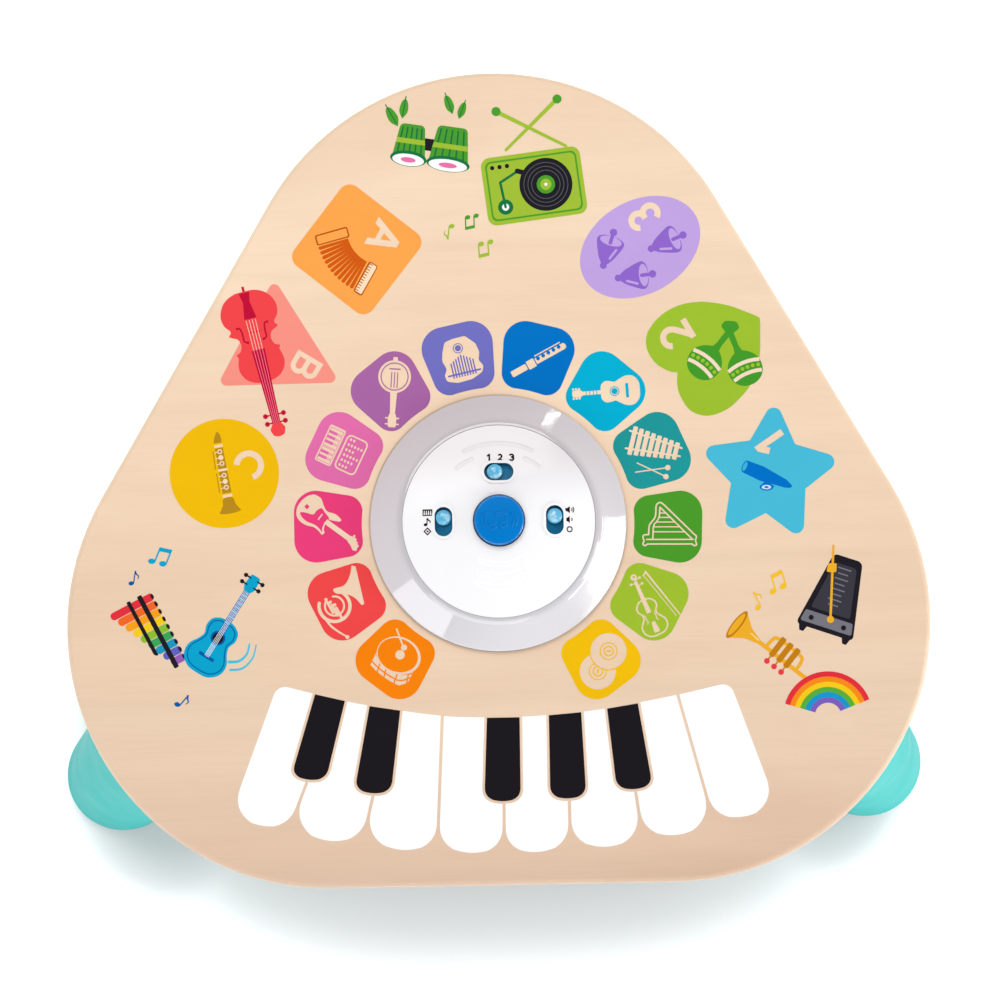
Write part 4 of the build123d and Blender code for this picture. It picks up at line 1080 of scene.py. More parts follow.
P = Print("shape_triangle")
SAL, CR, CD = (252, 150, 135), (246, 71, 75), (196, 14, 56)
P.poly(rounded([(273.9, 278.7), (339.9, 382.6), (216.9, 386.0)], [5.6, 5.6, 5.6], 8), SAL)
L = P.at(305.7, 365.9, 120.7)
glyph(L, "B", 29.0, 21.0, 5.0, None)
L = P.at(260.9, 360.6, 165.9)
L.line([(0, -66), (0, -76)], 2.4, CD, "butt")
half = [(0, -71), (12, -70), (23, -63.5), (28.6, -52), (27.4, -42), (22.4, -35), (25.4, -30.4), (21.8, -28.2), (17.2, -25.6), (15.4, -19.5), (17.6, -13.2), (22.6, -11), (21.0, -7.2), (22.9, 0), (22.9, 7), (19.2, 14.5), (12, 19.8), (0, 22.2)]
q = half + [(-u, v) for u, v in reversed(half) if abs(u) > 1e-6]
n = len(half)
L.blob(q, CR, 5, (6, 7, 11, 12, 2 * n - 2 - 6, 2 * n - 2 - 7, 2 * n - 2 - 11, 2 * n - 2 - 12))
L.poly([(-5.4, -69.8), (5.4, -69.8), (3.4, -60), (6.3, -43.2), (-6.3, -43.2), (-3.4, -60)], CD, [0.5, 0.5, 5, 0.6, 0.6, 5])
for e in (-1, 1):
    L.curve([(e * 15.6, -36.6), (e * 12.6, -35.4), (e * 11.4, -28.5), (e * 11.4, -22.6), (e * 8.0, -20.2)], 1.7, CD)
    L.disc(e * 15.4, -36.4, 1.3, CD)
    L.disc(e * 8.2, -20.4, 1.3, CD)
L.poly([(-6.7, -11.2), (6.7, -11.2), (4.0, 66), (-4.0, 66)], CD)
for k in range(5):
    L.line([(-6.0 + 2.7 * k, -29.6), (-4.8 + 2.7 * k, -29.6)], 1.5, CD, "butt")
for k in range(4):
    u = -4.7 + 3.13 * k
    L.line([(u, -42), (u * 0.94, -11.5)], 0.75, (253, 196, 182), "butt")
    L.line([(u * 0.94, -11.5), (u * 0.55, 65)], 0.8, (240, 110, 135), "butt")
for v, e in ((55.5, 1), (55.9, -1), (63.5, 1), (63.9, -1)):
    L.line([(0, v), (e * 8.0, v)], 1.4, CD)
    L.disc(e * 9.2, v, 2.5, CD)
for k in range(4):
    u = (-4.7 + 3.13 * k) * 0.58
    L.line([(u, 52), (u, 66)], 0.8, (240, 110, 135), "butt")
L.poly([(-4.2, 64.5), (4.2, 64.5), (7.8, 70.0), (5.6, 76.4), (0, 78.2), (-5.6, 76.4), (-7.8, 70.0)], CR, [1, 1, 2.4, 3, 4, 3, 2.4])
prints.append(P)

P = Print("shape_circle")
YEL, BRO, CRM = (245, 190, 11), (186, 140, 30), (250, 218, 188)
P.poly(circle(224.3, 473.5, 54.6, 120), YEL)
P.ribbon(arc(248.8, 465.6, 12.2, 183, 432, 30), 6.1, None)
L = P.at(223.4, 473.0, -10.4)
L.blob([(1.2, 41.5), (3.6, 38.0), (4.0, 30.4), (-4.0, 30.4), (-3.6, 34.0), (-0.6, 40.0)], BRO, 5, (2, 3))
L.rect(-4.2, 26.2, 4.2, 28.6, CRM, 0.5)
L.poly([(-4.0, 25.4), (4.0, 25.4), (4.6, -20.4), (-4.6, -20.4)], BRO)
L.rect(-4.8, 2.0, 4.8, 4.4, CRM, 0.5)
for v, solid in ((21.6, 0), (15.6, 1), (9.6, 0), (-2.4, 0), (-8.6, 1), (-14.6, 0)):
    L.disc(0.3, v, 2.5, CRM)
    if not solid:
        L.disc(0.3, v, 1.35, BRO)
    L.line([(-1.6, v), (-4.8, v - 0.4)], 0.9, CRM)
L.line([(-6.4, 22.5), (-7.0, 5.0)], 1.1, BRO)
L.line([(-6.8, 0.5), (-7.2, -18.5)], 1.1, BRO)
L.rect(-4.9, -24.4, 4.9, -21.8, CRM, 0.5)
L.mirror([(0, -41.2), (7.5, -40.6), (10.8, -39.2), (9.4, -37.0), (6.4, -32.0), (4.6, -25.4)], BRO, 5)
prints.append(P)

P = Print("shape_oval")
LAV, BEL = (195, 165, 228), (145, 103, 205)
P.poly(ellipse(640.1, 247.2, 64.0, 46.4, -30.0, 120), LAV)
L = P.at(644.4, 216.8, -124.0)
glyph(L, "3", 34.4, 22.0, 6.2, None)
for bx, by, ph in ((608.4, 249.1, -162.8), (666.9, 241.9, -113.2), (635.2, 276.0, -96.9)):
    L = P.at(bx, by, ph)
    L.disc(0, 17.2, 3.5, BEL)
    L.mirror([(0, -13.4), (8, -12.6), (13.0, -10.0), (13.9, -6.4), (12.2, -1.0), (9.8, 4.5), (7.4, 9.5), (4.6, 13.4), (2.4, 15.4)], BEL)
    L.oval(0, -8.4, 11.2, 4.6, LAV)
    L.line([(0, -9.0), (0, -15.6)], 5.8, LAV, "butt")
    L.line([(0, -6.6), (0, -14.6)], 3.7, BEL)
    L.disc(0, -17.4, 3.8, BEL)
    L.line([(-7.8, -1.4), (-4.0, 8.6)], 2.3, LAV)
prints.append(P)

P = Print("shape_heart")
HG, HD = (159, 194, 50), (68, 155, 44)
heart = [(677.6, 372.6), (669.0, 371.0), (656.4, 363.8), (647.6, 350.8), (646.4, 336.6), (652.8, 324.0), (665.0, 312.4), (682.0, 304.4), (703.8, 301.8), (728.0, 305.4), (745.0, 311.4), (757.6, 316.6), (760.0, 320.4), (760.2, 336.0), (760.0, 352.0), (757.0, 369.0), (750.4, 385.0), (740.0, 398.0), (726.4, 409.6), (707.4, 415.8), (690.4, 410.4), (680.4, 396.0), (677.2, 384.0)]
P.poly(smooth(heart, True, 5, (0,)), HG)
L = P.at(676.2, 335.0, -121.3)
glyph(L, "2", 34.0, 23.0, 6.2, None)
for cx, cy, ph, e in ((704.8, 362.4, 38.4, 1), (745.0, 368.2, -22.7, -1)):
    L = P.at(cx, cy, ph)
    L.poly([(-5.4, 12), (5.4, 12), (2.9, 23), (3.1, 36), (6.0, 49), (0, 51.4), (-6.0, 49), (-3.1, 36), (-2.9, 23)], HD, [0, 0, 6, 8, 3.4, 2, 3.4, 8, 6])
    L.blob([(0, 18.5), (8, 15.6), (15.0, 8.6), (17.4, 0), (15.2, -9.4), (8.6, -15.6), (0, -17.6), (-8.6, -15.6), (-15.2, -9.4), (-17.4, 0), (-15.0, 8.6), (-8, 15.6)], HD)
    L.arc(0, -44.1, 50.0, 70.4, 109.6, 3.7, (250, 222, 196), "butt")
    L.arc(0, -55.4, 50.0, 72.6, 107.4, 3.7, (250, 222, 196), "butt")
    for k in range(6):
        a = math.radians(90 + (k - 2.5) * 6.3)
        L.disc(50.0 * math.cos(a), -49.7 + 50.0 * math.sin(a), 1.95, HG)
prints.append(P)

P = Print("shape_star")
SB, KB = (73, 189, 218), (0, 114, 202)
inner = [(731.0, 483.0), (750.0, 440.4), (795.2, 444.2), (805.5, 488.6), (765.9, 513.0)]
tips = [(706.6, 450.6), (774.2, 407.6), (834.2, 460.2), (799.6, 532.4), (728.6, 526.4)]


def star(inner, tips, r):
    """Star whose rounded tips reach the given points; tip i stands before inner point i."""
    pts = []
    for i, t in enumerate(tips):
        a, b = inner[i], inner[(i + 1) % 5]
        mid = ((a[0] + b[0]) / 2, (a[1] + b[1]) / 2)
        d = unit(mid, t)
        far = t
        for _ in range(8):
            u, v = unit(far, a), unit(far, b)
            half = math.acos(max(-1, min(1, u[0] * v[0] + u[1] * v[1]))) / 2
            off = r * (1 / math.sin(half) - 1)
            far = (t[0] + d[0] * off, t[1] + d[1] * off)
        pts += [a, far]
    return rounded(pts, [0, r] * 5, 9)


P.poly(star(inner, tips, 8.2), SB)
P.poly([(780.3, 429.0), (784.2, 434.4), (766.0, 446.9), (770.4, 447.6), (768.9, 454.2), (757.8, 451.7), (754.2, 447.3)], None)
L = P.at(768.4, 476.6, -66.4)
L.poly([(-6.4, 26.0), (6.4, 26.0), (7.4, 8.0), (4.4, -18.0), (0, -28.4), (-3.4, -20.0), (-7.2, 6.0)], KB, [1, 1, 8, 6, 3, 6, 8])
L.oval(0, 25.4, 6.4, 3.0, KB)
L.oval(0, 25.6, 4.9, 1.9, (60, 180, 214))
L.poly([(-4.6, 1.0), (-6.4, -9.5), (-10.4, -8.0), (-9.6, 3.0)], KB, 1.0)
L.oval(-10.2, -2.4, 6.9, 3.7, KB, 90 - 24)
L.oval(-10.4, -2.4, 4.8, 2.2, (205, 232, 248), 90 - 24)
L.oval(-10.4, -2.4, 2.2, 1.1, KB, 90 - 24)
prints.append(P)

# ---------------------------------------------------------------- piano keys
P = Print("piano_keys")
WHITE, BLACK = (262, 262, 262), (29, 26, 32)
tops = [(271.7, 701.0), (330.0, 697.7), (384.9, 708.4), (442.3, 716.3), (503.2, 717.5), (565.0, 713.7), (622.4, 706.0), (677.8, 694.7), (735.3, 696.3)]
lows = [(236.3, 798.6), (295.6, 812.0), (366.4, 825.4), (438.1, 831.1), (504.1, 833.0), (570.0, 832.0), (640.4, 822.9), (709.8, 807.6), (771.0, 790.2)]
mids = [None, (307.0, 782.0), (373.0, 795.7), None, (504.1, 804.5), (569.4, 801.4), (635.7, 791.8), None, None]
foot = [(270.7, 826.4), (334.8, 841.0), (405.6, 849.9), (472.5, 852.8), (534.3, 852.0), (603.7, 846.7), (671.0, 835.1), (735.3, 817.1)]
rim = [(290.8, 688.0), (346.3, 701.4), (401.7, 710.6), (441.9, 715.8), (470.0, 717.1), (503.0, 717.2), (546.5, 715.1), (604.7, 708.6), (677.1, 694.7), (718.0, 685.1)]
rim_curve = smooth([(262.0, 681.0)] + rim + [(746.0, 678.6)], False, 12)


def rim_y(x):
    for a, b in zip(rim_curve, rim_curve[1:]):
        if a[0] <= x <= b[0]:
            return a[1] + (b[1] - a[1]) * (x - a[0]) / (b[0] - a[0])
    return rim_curve[0][1] if x < rim_curve[0][0] else rim_curve[-1][1]


def side(i, off):
    """Centre line of the gap at boundary i, moved sideways by off, top to bottom."""
    pts = [tops[i]] + ([mids[i]] if mids[i] else []) + [lows[i]]
    ux, uy = unit(pts[-2], pts[-1])
    pts = pts + [(pts[-1][0] + ux * 40, pts[-1][1] + uy * 40)]
    vx, vy = unit(pts[0], pts[1])
    pts = [(pts[0][0] - vx * 30, pts[0][1] - vy * 30)] + pts
    return [(p[0] + off, p[1]) for p in pts]


def meet(a, b, c, d):
    den = (a[0] - b[0]) * (c[1] - d[1]) - (a[1] - b[1]) * (c[0] - d[0])
    t = ((a[0] - c[0]) * (c[1] - d[1]) - (a[1] - c[1]) * (c[0] - d[0])) / den
    return (a[0] + t * (b[0] - a[0]), a[1] + t * (b[1] - a[1]))


def key_end(lft, rgt, foot_, R, tl_, tr_):
    """Rounded end of a key between two side lines, from its right side round to its left."""
    dl, dr = unit(*lft), unit(*rgt)
    c = (foot_[0], foot_[1] - R)

    def hit(p, d):
        px_, py_ = p[0] - c[0], p[1] - c[1]
        b = px_ * d[0] + py_ * d[1]
        t = -b + math.sqrt(b * b - (px_ * px_ + py_ * py_ - R * R))
        return (p[0] + d[0] * t, p[1] + d[1] * t)

    def on(a):
        return (c[0] + R * math.cos(a), c[1] + R * math.sin(a))

    def bend(p0, p1, p2):
        return [tuple((1 - t) ** 2 * u + 2 * t * (1 - t) * v + t * t * w for u, v, w in zip(p0, p1, p2)) for t in [j / 8 for j in range(9)]]

    rb, lb = hit(rgt[0], dr), hit(lft[0], dl)
    ar, al = math.atan2(rb[1] - c[1], rb[0] - c[0]), math.atan2(lb[1] - c[1], lb[0] - c[0])
    a0, a1 = ar + tr_ / R, al - tl_ / R
    out = bend((rb[0] - dr[0] * tr_, rb[1] - dr[1] * tr_), rb, on(a0))
    out += [on(a0 + (a1 - a0) * j / 14) for j in range(1, 14)]
    out += bend(on(a1), lb, (lb[0] - dl[0] * tl_, lb[1] - dl[1] * tl_))
    return out


for i in range(8):
    lft, rgt = side(i, 1.6 if i else 0.0), side(i + 1, -1.6 if i < 7 else 0.0)
    # top ends on the rim
    def cut(line):
        a, b = line[0], line[1]
        best = None
        for p, q in zip(rim_curve, rim_curve[1:]):
            s = meet(a, b, p, q)
            if min(p[0], q[0]) - 1e-6 <= s[0] <= max(p[0], q[0]) + 1e-6:
                best = s
        return best or b

    lt, rt = cut(lft), cut(rgt)
    end = key_end(lft[-2:], rgt[-2:], foot[i], 52.0, (23.0, 23.0, 20.0)[i] if i < 3 else 16.0, (20.0, 23.0, 23.0)[i - 5] if i > 4 else 16.0)
    topline = [p for p in rim_curve if lt[0] + (18 if i == 0 else 0.5) < p[0] < rt[0] - (18 if i == 7 else 0.5)]
    pts = [lt] + topline + [rt] + [p for p in rgt[2:-2]] + end + [p for p in reversed(lft[2:-2])]
    rad = [0.0] * len(pts)
    rad[0] = 14.0 if i == 0 else 0.0
    rad[len(topline) + 1] = 14.0 if i == 7 else 0.0
    P.poly(rounded(pts, rad, 9), WHITE)
black = [
    ((315.1, 694.3), (344.9, 701.0), (328.1, 770.9), (294.2, 766.1), (312.8, 779.9)),
    ((369.6, 706.2), (400.2, 710.6), (392.2, 782.4), (356.4, 780.4), (375.0, 793.3)),
    ((486.9, 717.8), (519.6, 717.3), (520.6, 791.2), (484.7, 791.2), (502.7, 801.2)),
    ((548.8, 715.3), (581.2, 712.2), (585.9, 790.2), (550.2, 790.2), (566.9, 798.4)),
    ((607.1, 708.6), (637.8, 703.3), (651.2, 778.0), (615.7, 780.0), (631.8, 789.2)),
]
for tl, tr, rb, lb, bt in black:
    dl, dr = unit(tl, lb), unit(tr, rb)
    w = 2.6
    hl = [(tl[0] - dl[1] * w - dl[0] * 5, tl[1] + dl[0] * w - dl[1] * 5), (lb[0] - dl[1] * w, lb[1] + dl[0] * w)]
    hr = [(tr[0] + dr[1] * w - dr[0] * 5, tr[1] - dr[0] * w - dr[1] * 5), (rb[0] + dr[1] * w, rb[1] - dr[0] * w)]
    P.poly([hl[0], hr[0]] + key_end(hl, hr, (bt[0], bt[1] + w), 38.0 + w, 10.0, 10.0), None)
    P.poly([tl, tr] + key_end((tl, lb), (tr, rb), bt, 38.0, 9.0, 9.0), BLACK)
prints.append(P)

# ---------------------------------------------------------------- free motifs
# Far side: bongos, a record player, two drumsticks, leaves and notes.
P = Print("motif_far")
G1, G2, G3, K, W_ = (76, 158, 46), (24, 116, 66), (162, 192, 56), (33, 30, 38), (255, 255, 255)
L = P.at(430.0, 148.0, 188.0)
for u, w, h in ((-20, 20, 24), (20, 16.5, 21)):
    L.poly([(u - w, 12), (u + w, 12), (u + w * 0.74, -h), (u - w * 0.74, -h)], G1, [2, 2, 5, 5])
    for k in range(-2, 3):
        t = k / 2.6
        L.line([(u + w * 0.95 * t, 10), (u + w * 0.74 * t, -h + 3)], 1.6, G2, "butt")
    L.poly([(u - w * 0.90, -1.5), (u + w * 0.90, -1.5), (u + w * 0.84, -6.5), (u - w * 0.84, -6.5)], G3)
    L.oval(u, 13.5, w + 1.8, 7.8, G2)
    L.oval(u, 14.8, w - 0.6, 6.0, W_)
    L.oval(u, 14.8, w * 0.46, 2.6, (236, 116, 170))
L.rect(-6, -9, 8, 3, K, 2)
P.shapes.insert(0, P.shapes.pop())
L = P.at(534.0, 186.0, 172.0)
L.rect(-50, -34, 50, 34, G3, 9)
L.rect(-46, -30, 46, 30, G1, 6)
L.rect(-44.2, -28.2, 44.2, 28.2, G3, 5)
L.disc(-12, 0, 26.5, K)
for r in (22.0, 18.0, 14.2):
    L.loop(-12, 0, r, 0.7, (92, 92, 100))
L.disc(-12, 0, 9.2, G1)
L.disc(-12, 0, 5.6, G3)
L.disc(-12, 0, 1.6, W_)
L.disc(31, 17, 7.6, G2)
L.disc(31, 17, 3.6, W_)
L.line([(31, 17), (33, -8), (14, -17)], 2.6, G2)
L.line([(14.5, -17.2), (8.5, -14.6)], 5.0, K)
for k in range(3):
    L.disc(24 + 7.5 * k, -23.5, 2.2, K)
P.line([(497, 112), (566, 146)], 4.2, G3, "round", 2.8)
P.line([(556, 100), (506, 150)], 4.2, G3, "round", 2.8)
P.disc(496, 111.6, 4.6, G1)
P.disc(557, 99, 4.6, G1)
for lx, ly, ph, s in ((392, 116, 150, 1.0), (404, 108, 190, 0.9), (449, 104, 160, 0.9), (462, 110, 200, 0.8)):
    L = P.at(lx, ly, ph, s)
    L.blob([(0, 12), (4.6, 4), (3.6, -6), (0, -10), (-3.6, -6), (-4.6, 4)], G1, 5, (0,))
    L.line([(0, 9), (0, -13)], 1.1, G2)
note(P, 449, 232, 0.95, 186, G3)
note(P, 472, 222, 0.95, 178, G1, True)
note(P, 486, 249, 1.05, 176, G3, True)
prints.append(P)

# Left corner: pan pipes in rainbow colours and a blue ukulele with notes.
P = Print("motif_left")
B1, B2, B3 = (11, 164, 205), (4, 92, 170), (60, 196, 228)
L = P.at(150.0, 636.0, 62.0)
rain = [(228, 50, 62), (243, 105, 40), (250, 160, 30), (246, 205, 30), (140, 190, 50), (60, 165, 90), (30, 150, 190), (95, 100, 190), (150, 95, 180)]
for k, c in enumerate(rain):
    u = -34.0 + 8.5 * k
    h = 46.0 - 4.0 * k
    L.rect(u - 3.9, -h + 20, u + 3.9, 22, c, 3.6)
    L.oval(u, 20.4, 2.7, 1.6, K)
L.poly([(-40.5, 11.5), (40.5, 11.5), (40.5, 6.5), (-40.5, 6.5)], K, 1.2)
L.poly([(-40.5, -5.4), (18.5, -5.4), (22.5, -1.4), (-40.5, -1.4)], K, 1.2)
L = P.at(223.0, 630.0, 32.0)
L.mirror([(0, -50), (12, -48.5), (21, -40), (22, -29), (16.4, -19), (14.2, -12), (16.8, -4), (15.0, 4.4), (8, 9.4), (2, 10.2)], B1)
L.mirror_outline([(0, -46.4), (11, -45), (18.2, -38), (19, -29.4), (14, -19.4), (11.6, -12), (13.8, -4.6), (12.4, 2.8), (6.8, 6.6), (2, 7.2)], 1.1, B2)
L.disc(0, -9.5, 7.4, B2)
L.disc(0, -9.5, 5.6, K)
L.rect(-8.6, -33.0, 8.6, -29.6, B2, 1.2)
L.rect(-3.2, -4.0, 3.2, 46, B2)
for v in (8, 14.5, 20.5, 26, 31, 35.6, 40):
    L.rect(-3.2, v, 3.2, v + 0.9, B3)
for k in range(4):
    u = -2.1 + 1.4 * k
    L.line([(u, -31), (u, 47)], 0.45, W_, "butt")
L.poly([(-3.4, 45), (3.4, 45), (6.2, 50), (5.2, 63), (-5.2, 63), (-6.2, 50)], B1, [0, 0, 2, 2.4, 2.4, 2])
for v in (51.5, 59):
    for s in (-1, 1):
        L.line([(s * 4, v), (s * 8.4, v)], 1.5, K)
        L.disc(s * 9.6, v, 2.2, K)
L.curve([(22, -24), (30, -18), (33, -8), (30, 2)], 3.0, B3, "round", 1.6)
L.curve([(27.5, -30), (37, -22), (40, -8), (36, 5)], 2.4, B3, "round", 1.2)
note(P, 160, 556, 1.25, 22, B1, True)
note(P, 183, 701, 1.0, 40, B2)
note(P, 134, 578, 0.9, 8, B2)
prints.append(P)

# Right corner: a metronome, a trumpet, a folded ribbon and notes.
P = Print("motif_right")
Y1, Y2, GR, GD = (242, 176, 43), (198, 128, 20), (120, 118, 126), (60, 58, 66)
L = P.at(836.0, 596.0, 18.0)
L.poly([(-30, -38), (30, -38), (15, 40), (-15, 40)], K, [4, 4, 6, 6])
L.poly([(-20.5, -18), (20.5, -18), (11.5, 32), (-11.5, 32)], GD, [2, 2, 4, 4])
L.poly([(-27.0, -33.5), (27.0, -33.5), (24.6, -21.5), (-24.6, -21.5)], GR, 2)
for k in range(8):
    L.rect(-7.0 + (k % 2) * 1.8, 27.5 - 5.4 * k, 7.0 - (k % 2) * 1.8, 28.8 - 5.4 * k, GR)
L.line([(2, -24), (-18, 47)], 2.4, Y1)
L.poly([(-16.6, 20.0), (-7.0, 22.6), (-9.4, 31.4), (-17.4, 29.0)], Y1, 1.5)
L.disc(2, -24, 3.6, Y1)
L.disc(-17, -28, 2.6, K)
L.disc(17, -28, 2.6, K)
for s in (-1, 1):
    L.poly([(s * 18, -37), (s * 27, -37), (s * 24.5, -43.5), (s * 20.5, -43.5)], K, 1)
L = P.at(772.0, 652.0, -52.0)
L.line([(0, -44), (0, 30)], 4.2, Y1)
L.poly([(-2.1, 16), (2.1, 16), (6.0, 30), (16.5, 44.5), (-16.5, 44.5), (-6.0, 30)], Y1, [0, 0, 14, 1, 1, 14])
L.oval(0, 44.5, 16.6, 4.6, Y2)
L.oval(0, 44.8, 13.4, 3.0, Y1)
L.rect(-2.8, -49, 2.8, -44, Y2, 1.2)
L.curve([(0, -30), (10.5, -29), (14.5, -24), (14.5, 2), (10.5, 7), (0, 8)], 3.4, Y1)
for k in range(3):
    v = -19.5 + 9.0 * k
    L.rect(-4.0, v - 2.9, 18.8, v + 2.9, Y2, 1.6)
    L.line([(-4, v), (-9.0, v)], 1.6, Y2)
    L.disc(-10.2, v, 2.9, (236, 62, 70))
L.line([(1.0, 18), (1.8, 28)], 1.3, (252, 220, 140))
for k, c in enumerate(((228, 50, 62), (250, 140, 30), (246, 205, 30), (90, 175, 60), (30, 150, 205), (126, 95, 190))):
    P.ribbon(arc(828.0, 716.0, 42.0 - 5.2 * k, 196, 338, 26), 5.4, c, "butt")
note(P, 757, 600, 1.1, -28, (246, 195, 40))
note(P, 776, 582, 1.25, -18, (246, 195, 40), True)
prints.append(P)

for P in prints:
    build(P)

# ---------------------------------------------------------------- marks on the control cover
DOME_TOP, DOME_R = 21.5, 184.0  # mm above the wood, and the dome's radius


def dome(x, y):
    return DOME_TOP - DOME_R + math.sqrt(DOME_R**2 - x * x - y * y)


P = Print("cover_marks")
INK = (44, 24, 24)


def mark(px, py, phi=0.0, s=1.0):
    """Local frame in mm on the cover at an image point."""
    x, y = on_plane(px, py, 20.0)
    L = P.at(x, -y, phi, s)
    return L


class Flat(Print):
    pass


L = mark(488.4, 457.0)
L.line([(0.45, -1.75), (0.45, 1.75)], 0.85, INK, "butt")
L.line([(0.5, 1.4), (-0.75, 0.55)], 0.72, INK, "butt")
for px_, ch in ((500.0, "2"), (511.6, "3")):
    glyph(mark(px_, 457.0), ch, 3.6, 2.5, 0.85, INK)
# mode: keyboard, note, diamond
L = mark(427.4, 512.4)
L.rect(-2.45, -1.65, 2.45, 1.65, INK, 0.3)
for k in range(4):
    L.rect(-1.93 + 1.06 * k, -1.15, -1.25 + 1.06 * k, 0.05, (244, 240, 240))
    L.rect(-1.80 + 1.06 * k, 0.0, -1.38 + 1.06 * k, 0.95, (244, 240, 240))
L = mark(427.4, 521.8)
L.oval(-0.95, -1.3, 0.95, 0.75, INK, -18)
L.line([(-0.2, -1.2), (-0.2, 1.9)], 0.5, INK, "butt")
L.curve([(-0.2, 1.75), (0.5, 0.9), (1.3, 0.4), (1.2, -0.5)], 0.85, INK, "butt", 0.4)
L = mark(427.4, 531.2)
L.poly([(0, 2.1), (2.0, 0), (0, -2.1), (-2.0, 0)], INK, 0.3)
L.poly([(0, 1.25), (1.2, 0), (0, -1.25), (-1.2, 0)], (244, 240, 240), 0.2)
L.disc(0, 0, 0.5, INK)
# volume: loud, soft, off
for py_, waves in ((509.4, 2), (519.2, 1)):
    L = mark(569.6, py_)
    L.poly([(-2.1, -0.75), (-1.2, -0.75), (0.2, -1.75), (0.2, 1.75), (-1.2, 0.75), (-2.1, 0.75)], INK, 0.1)
    for k in range(waves):
        L.arc(0.3, 0, 1.0 + 0.9 * k, -46, 46, 0.5, INK, "butt")
L = mark(569.8, 529.0)
L.disc(0, 0, 1.55, INK)
L.disc(0, 0, 0.95, None)
P.shapes = [([(x, -y) for x, y in pts], c) for pts, c in P.shapes]
build(P, z=dome, lift=0.03, sink=0.05, space="plane")

# ---------------------------------------------------------------- fine lip of the ring over the cover's edge
# Painted shadow: the lip's inner edge along the seam is dark grey.
SEAM_SHADOW = plain("seam_shadow", [0.10, 0.10, 0.105], 0.6, 0.05, 60.0, 0.0)


def hoop(name, prof, slots, n=300, body="root"):
    """Closed ring turned about the unit's axis; prof runs counter-clockwise, radius and height in mm."""
    m = len(prof)
    co, faces, mi = [], [], []
    for k in range(n):
        a = 2 * math.pi * k / n
        for r, z in prof:
            co.append((AX + r * math.cos(a) / 1000, AY + r * math.sin(a) / 1000, TOP + z / 1000))
    for k in range(n):
        q = (k + 1) % n
        for j in range(m):
            i = (j + 1) % m
            faces.append((k * m + j, q * m + j, q * m + i, k * m + i))
            mi.append(slots[j][1])
    me = bpy.data.meshes.new(name)
    me.from_pydata(co, [], faces)
    me.polygons.foreach_set("material_index", mi)
    me.polygons.foreach_set("use_smooth", [slots[j][0] for _ in range(n) for j in range(m)])
    me.materials.append(mats["ring_plastic"])
    me.materials.append(SEAM_SHADOW)
    me.update()
    ob = bpy.data.objects.new(name, me)
    scene.collection.objects.link(ob)
    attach(ob, body)
    return ob


hoop(
    "ring_lip",
    [(47.60, 15.02), (49.30, 14.50), (49.36, 14.94), (49.10, 15.03), (48.60, 15.17), (48.10, 15.30), (47.80, 15.36), (47.62, 15.235)],
    [(False, 0), (False, 0), (True, 0), (True, 0), (True, 0), (True, 0), (False, 1), (False, 1)],
)

# ---------------------------------------------------------------- raised note on the start button
def raised_lines(name, strokes, top, step=0.16, half=0.6, height=0.38, reach=10.4, body="root", material=None):
    """Rounded ridges along strokes, in mm from the axis, standing on the surface top(r)."""
    seg = np.array([(*a, *b) for st in strokes for a, b in zip(st, st[1:])])
    n = int(reach / step)
    g = np.arange(-n, n + 1) * step
    X, Y = np.meshgrid(g, g, indexing="ij")
    d = np.full(X.shape, 9.0)
    for x0, y0, x1, y1 in seg:
        l2 = max(1e-9, (x1 - x0) ** 2 + (y1 - y0) ** 2)
        t = np.clip(((X - x0) * (x1 - x0) + (Y - y0) * (y1 - y0)) / l2, 0, 1)
        d = np.minimum(d, np.hypot(X - x0 - t * (x1 - x0), Y - y0 - t * (y1 - y0)))
    h = height * np.clip(1 - (d / half) ** 2, 0, 1)
    on = d < half + step
    cell = on[:-1, :-1] & on[1:, :-1] & on[:-1, 1:] & on[1:, 1:]
    idx = -np.ones(X.shape, int)
    need = np.zeros(X.shape, bool)
    for du in (0, 1):
        for dv in (0, 1):
            need[du : du + cell.shape[0], dv : dv + cell.shape[1]] |= cell
    order = np.argwhere(need)
    idx[need] = np.arange(len(order))
    co = []
    for lift in (0.0, -0.12):
        for i, j in order:
            r2 = X[i, j] ** 2 + Y[i, j] ** 2
            z = top(r2) + (h[i, j] + 0.004 if lift == 0 else lift)
            co.append((AX + X[i, j] / 1000, AY + Y[i, j] / 1000, TOP + z / 1000))
    n = len(order)
    faces, smooth_ = [], []
    edges = set()
    for i, j in np.argwhere(cell):
        q = [idx[i, j], idx[i + 1, j], idx[i + 1, j + 1], idx[i, j + 1]]
        faces.append(q)
        smooth_.append(True)
        faces.append([k + n for k in reversed(q)])
        smooth_.append(False)
        for a, b in zip(q, q[1:] + q[:1]):
            edges.add((a, b))
    for a, b in sorted(edges):
        if (b, a) not in edges:
            faces.append([b, a, a + n, b + n])
            smooth_.append(False)
    me = bpy.data.meshes.new(name)
    me.from_pydata(co, [], [[int(k) for k in f] for f in faces])
    me.polygons.foreach_set("use_smooth", smooth_)
    me.materials.append(material)
    me.update()
    ob = bpy.data.objects.new(name, me)
    scene.collection.objects.link(ob)
    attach(ob, body)
    return ob


CROWN_R = (10.9**2 + 0.45**2) / 0.9


def crown(r2):
    return 25.5 - CROWN_R + math.sqrt(CROWN_R**2 - r2)


def bow(cx, cy, r, a0, a1, n=14):
    return [(cx + r * math.cos(math.radians(a0 + (a1 - a0) * k / n)), cy + r * math.sin(math.radians(a0 + (a1 - a0) * k / n))) for k in range(n + 1)]


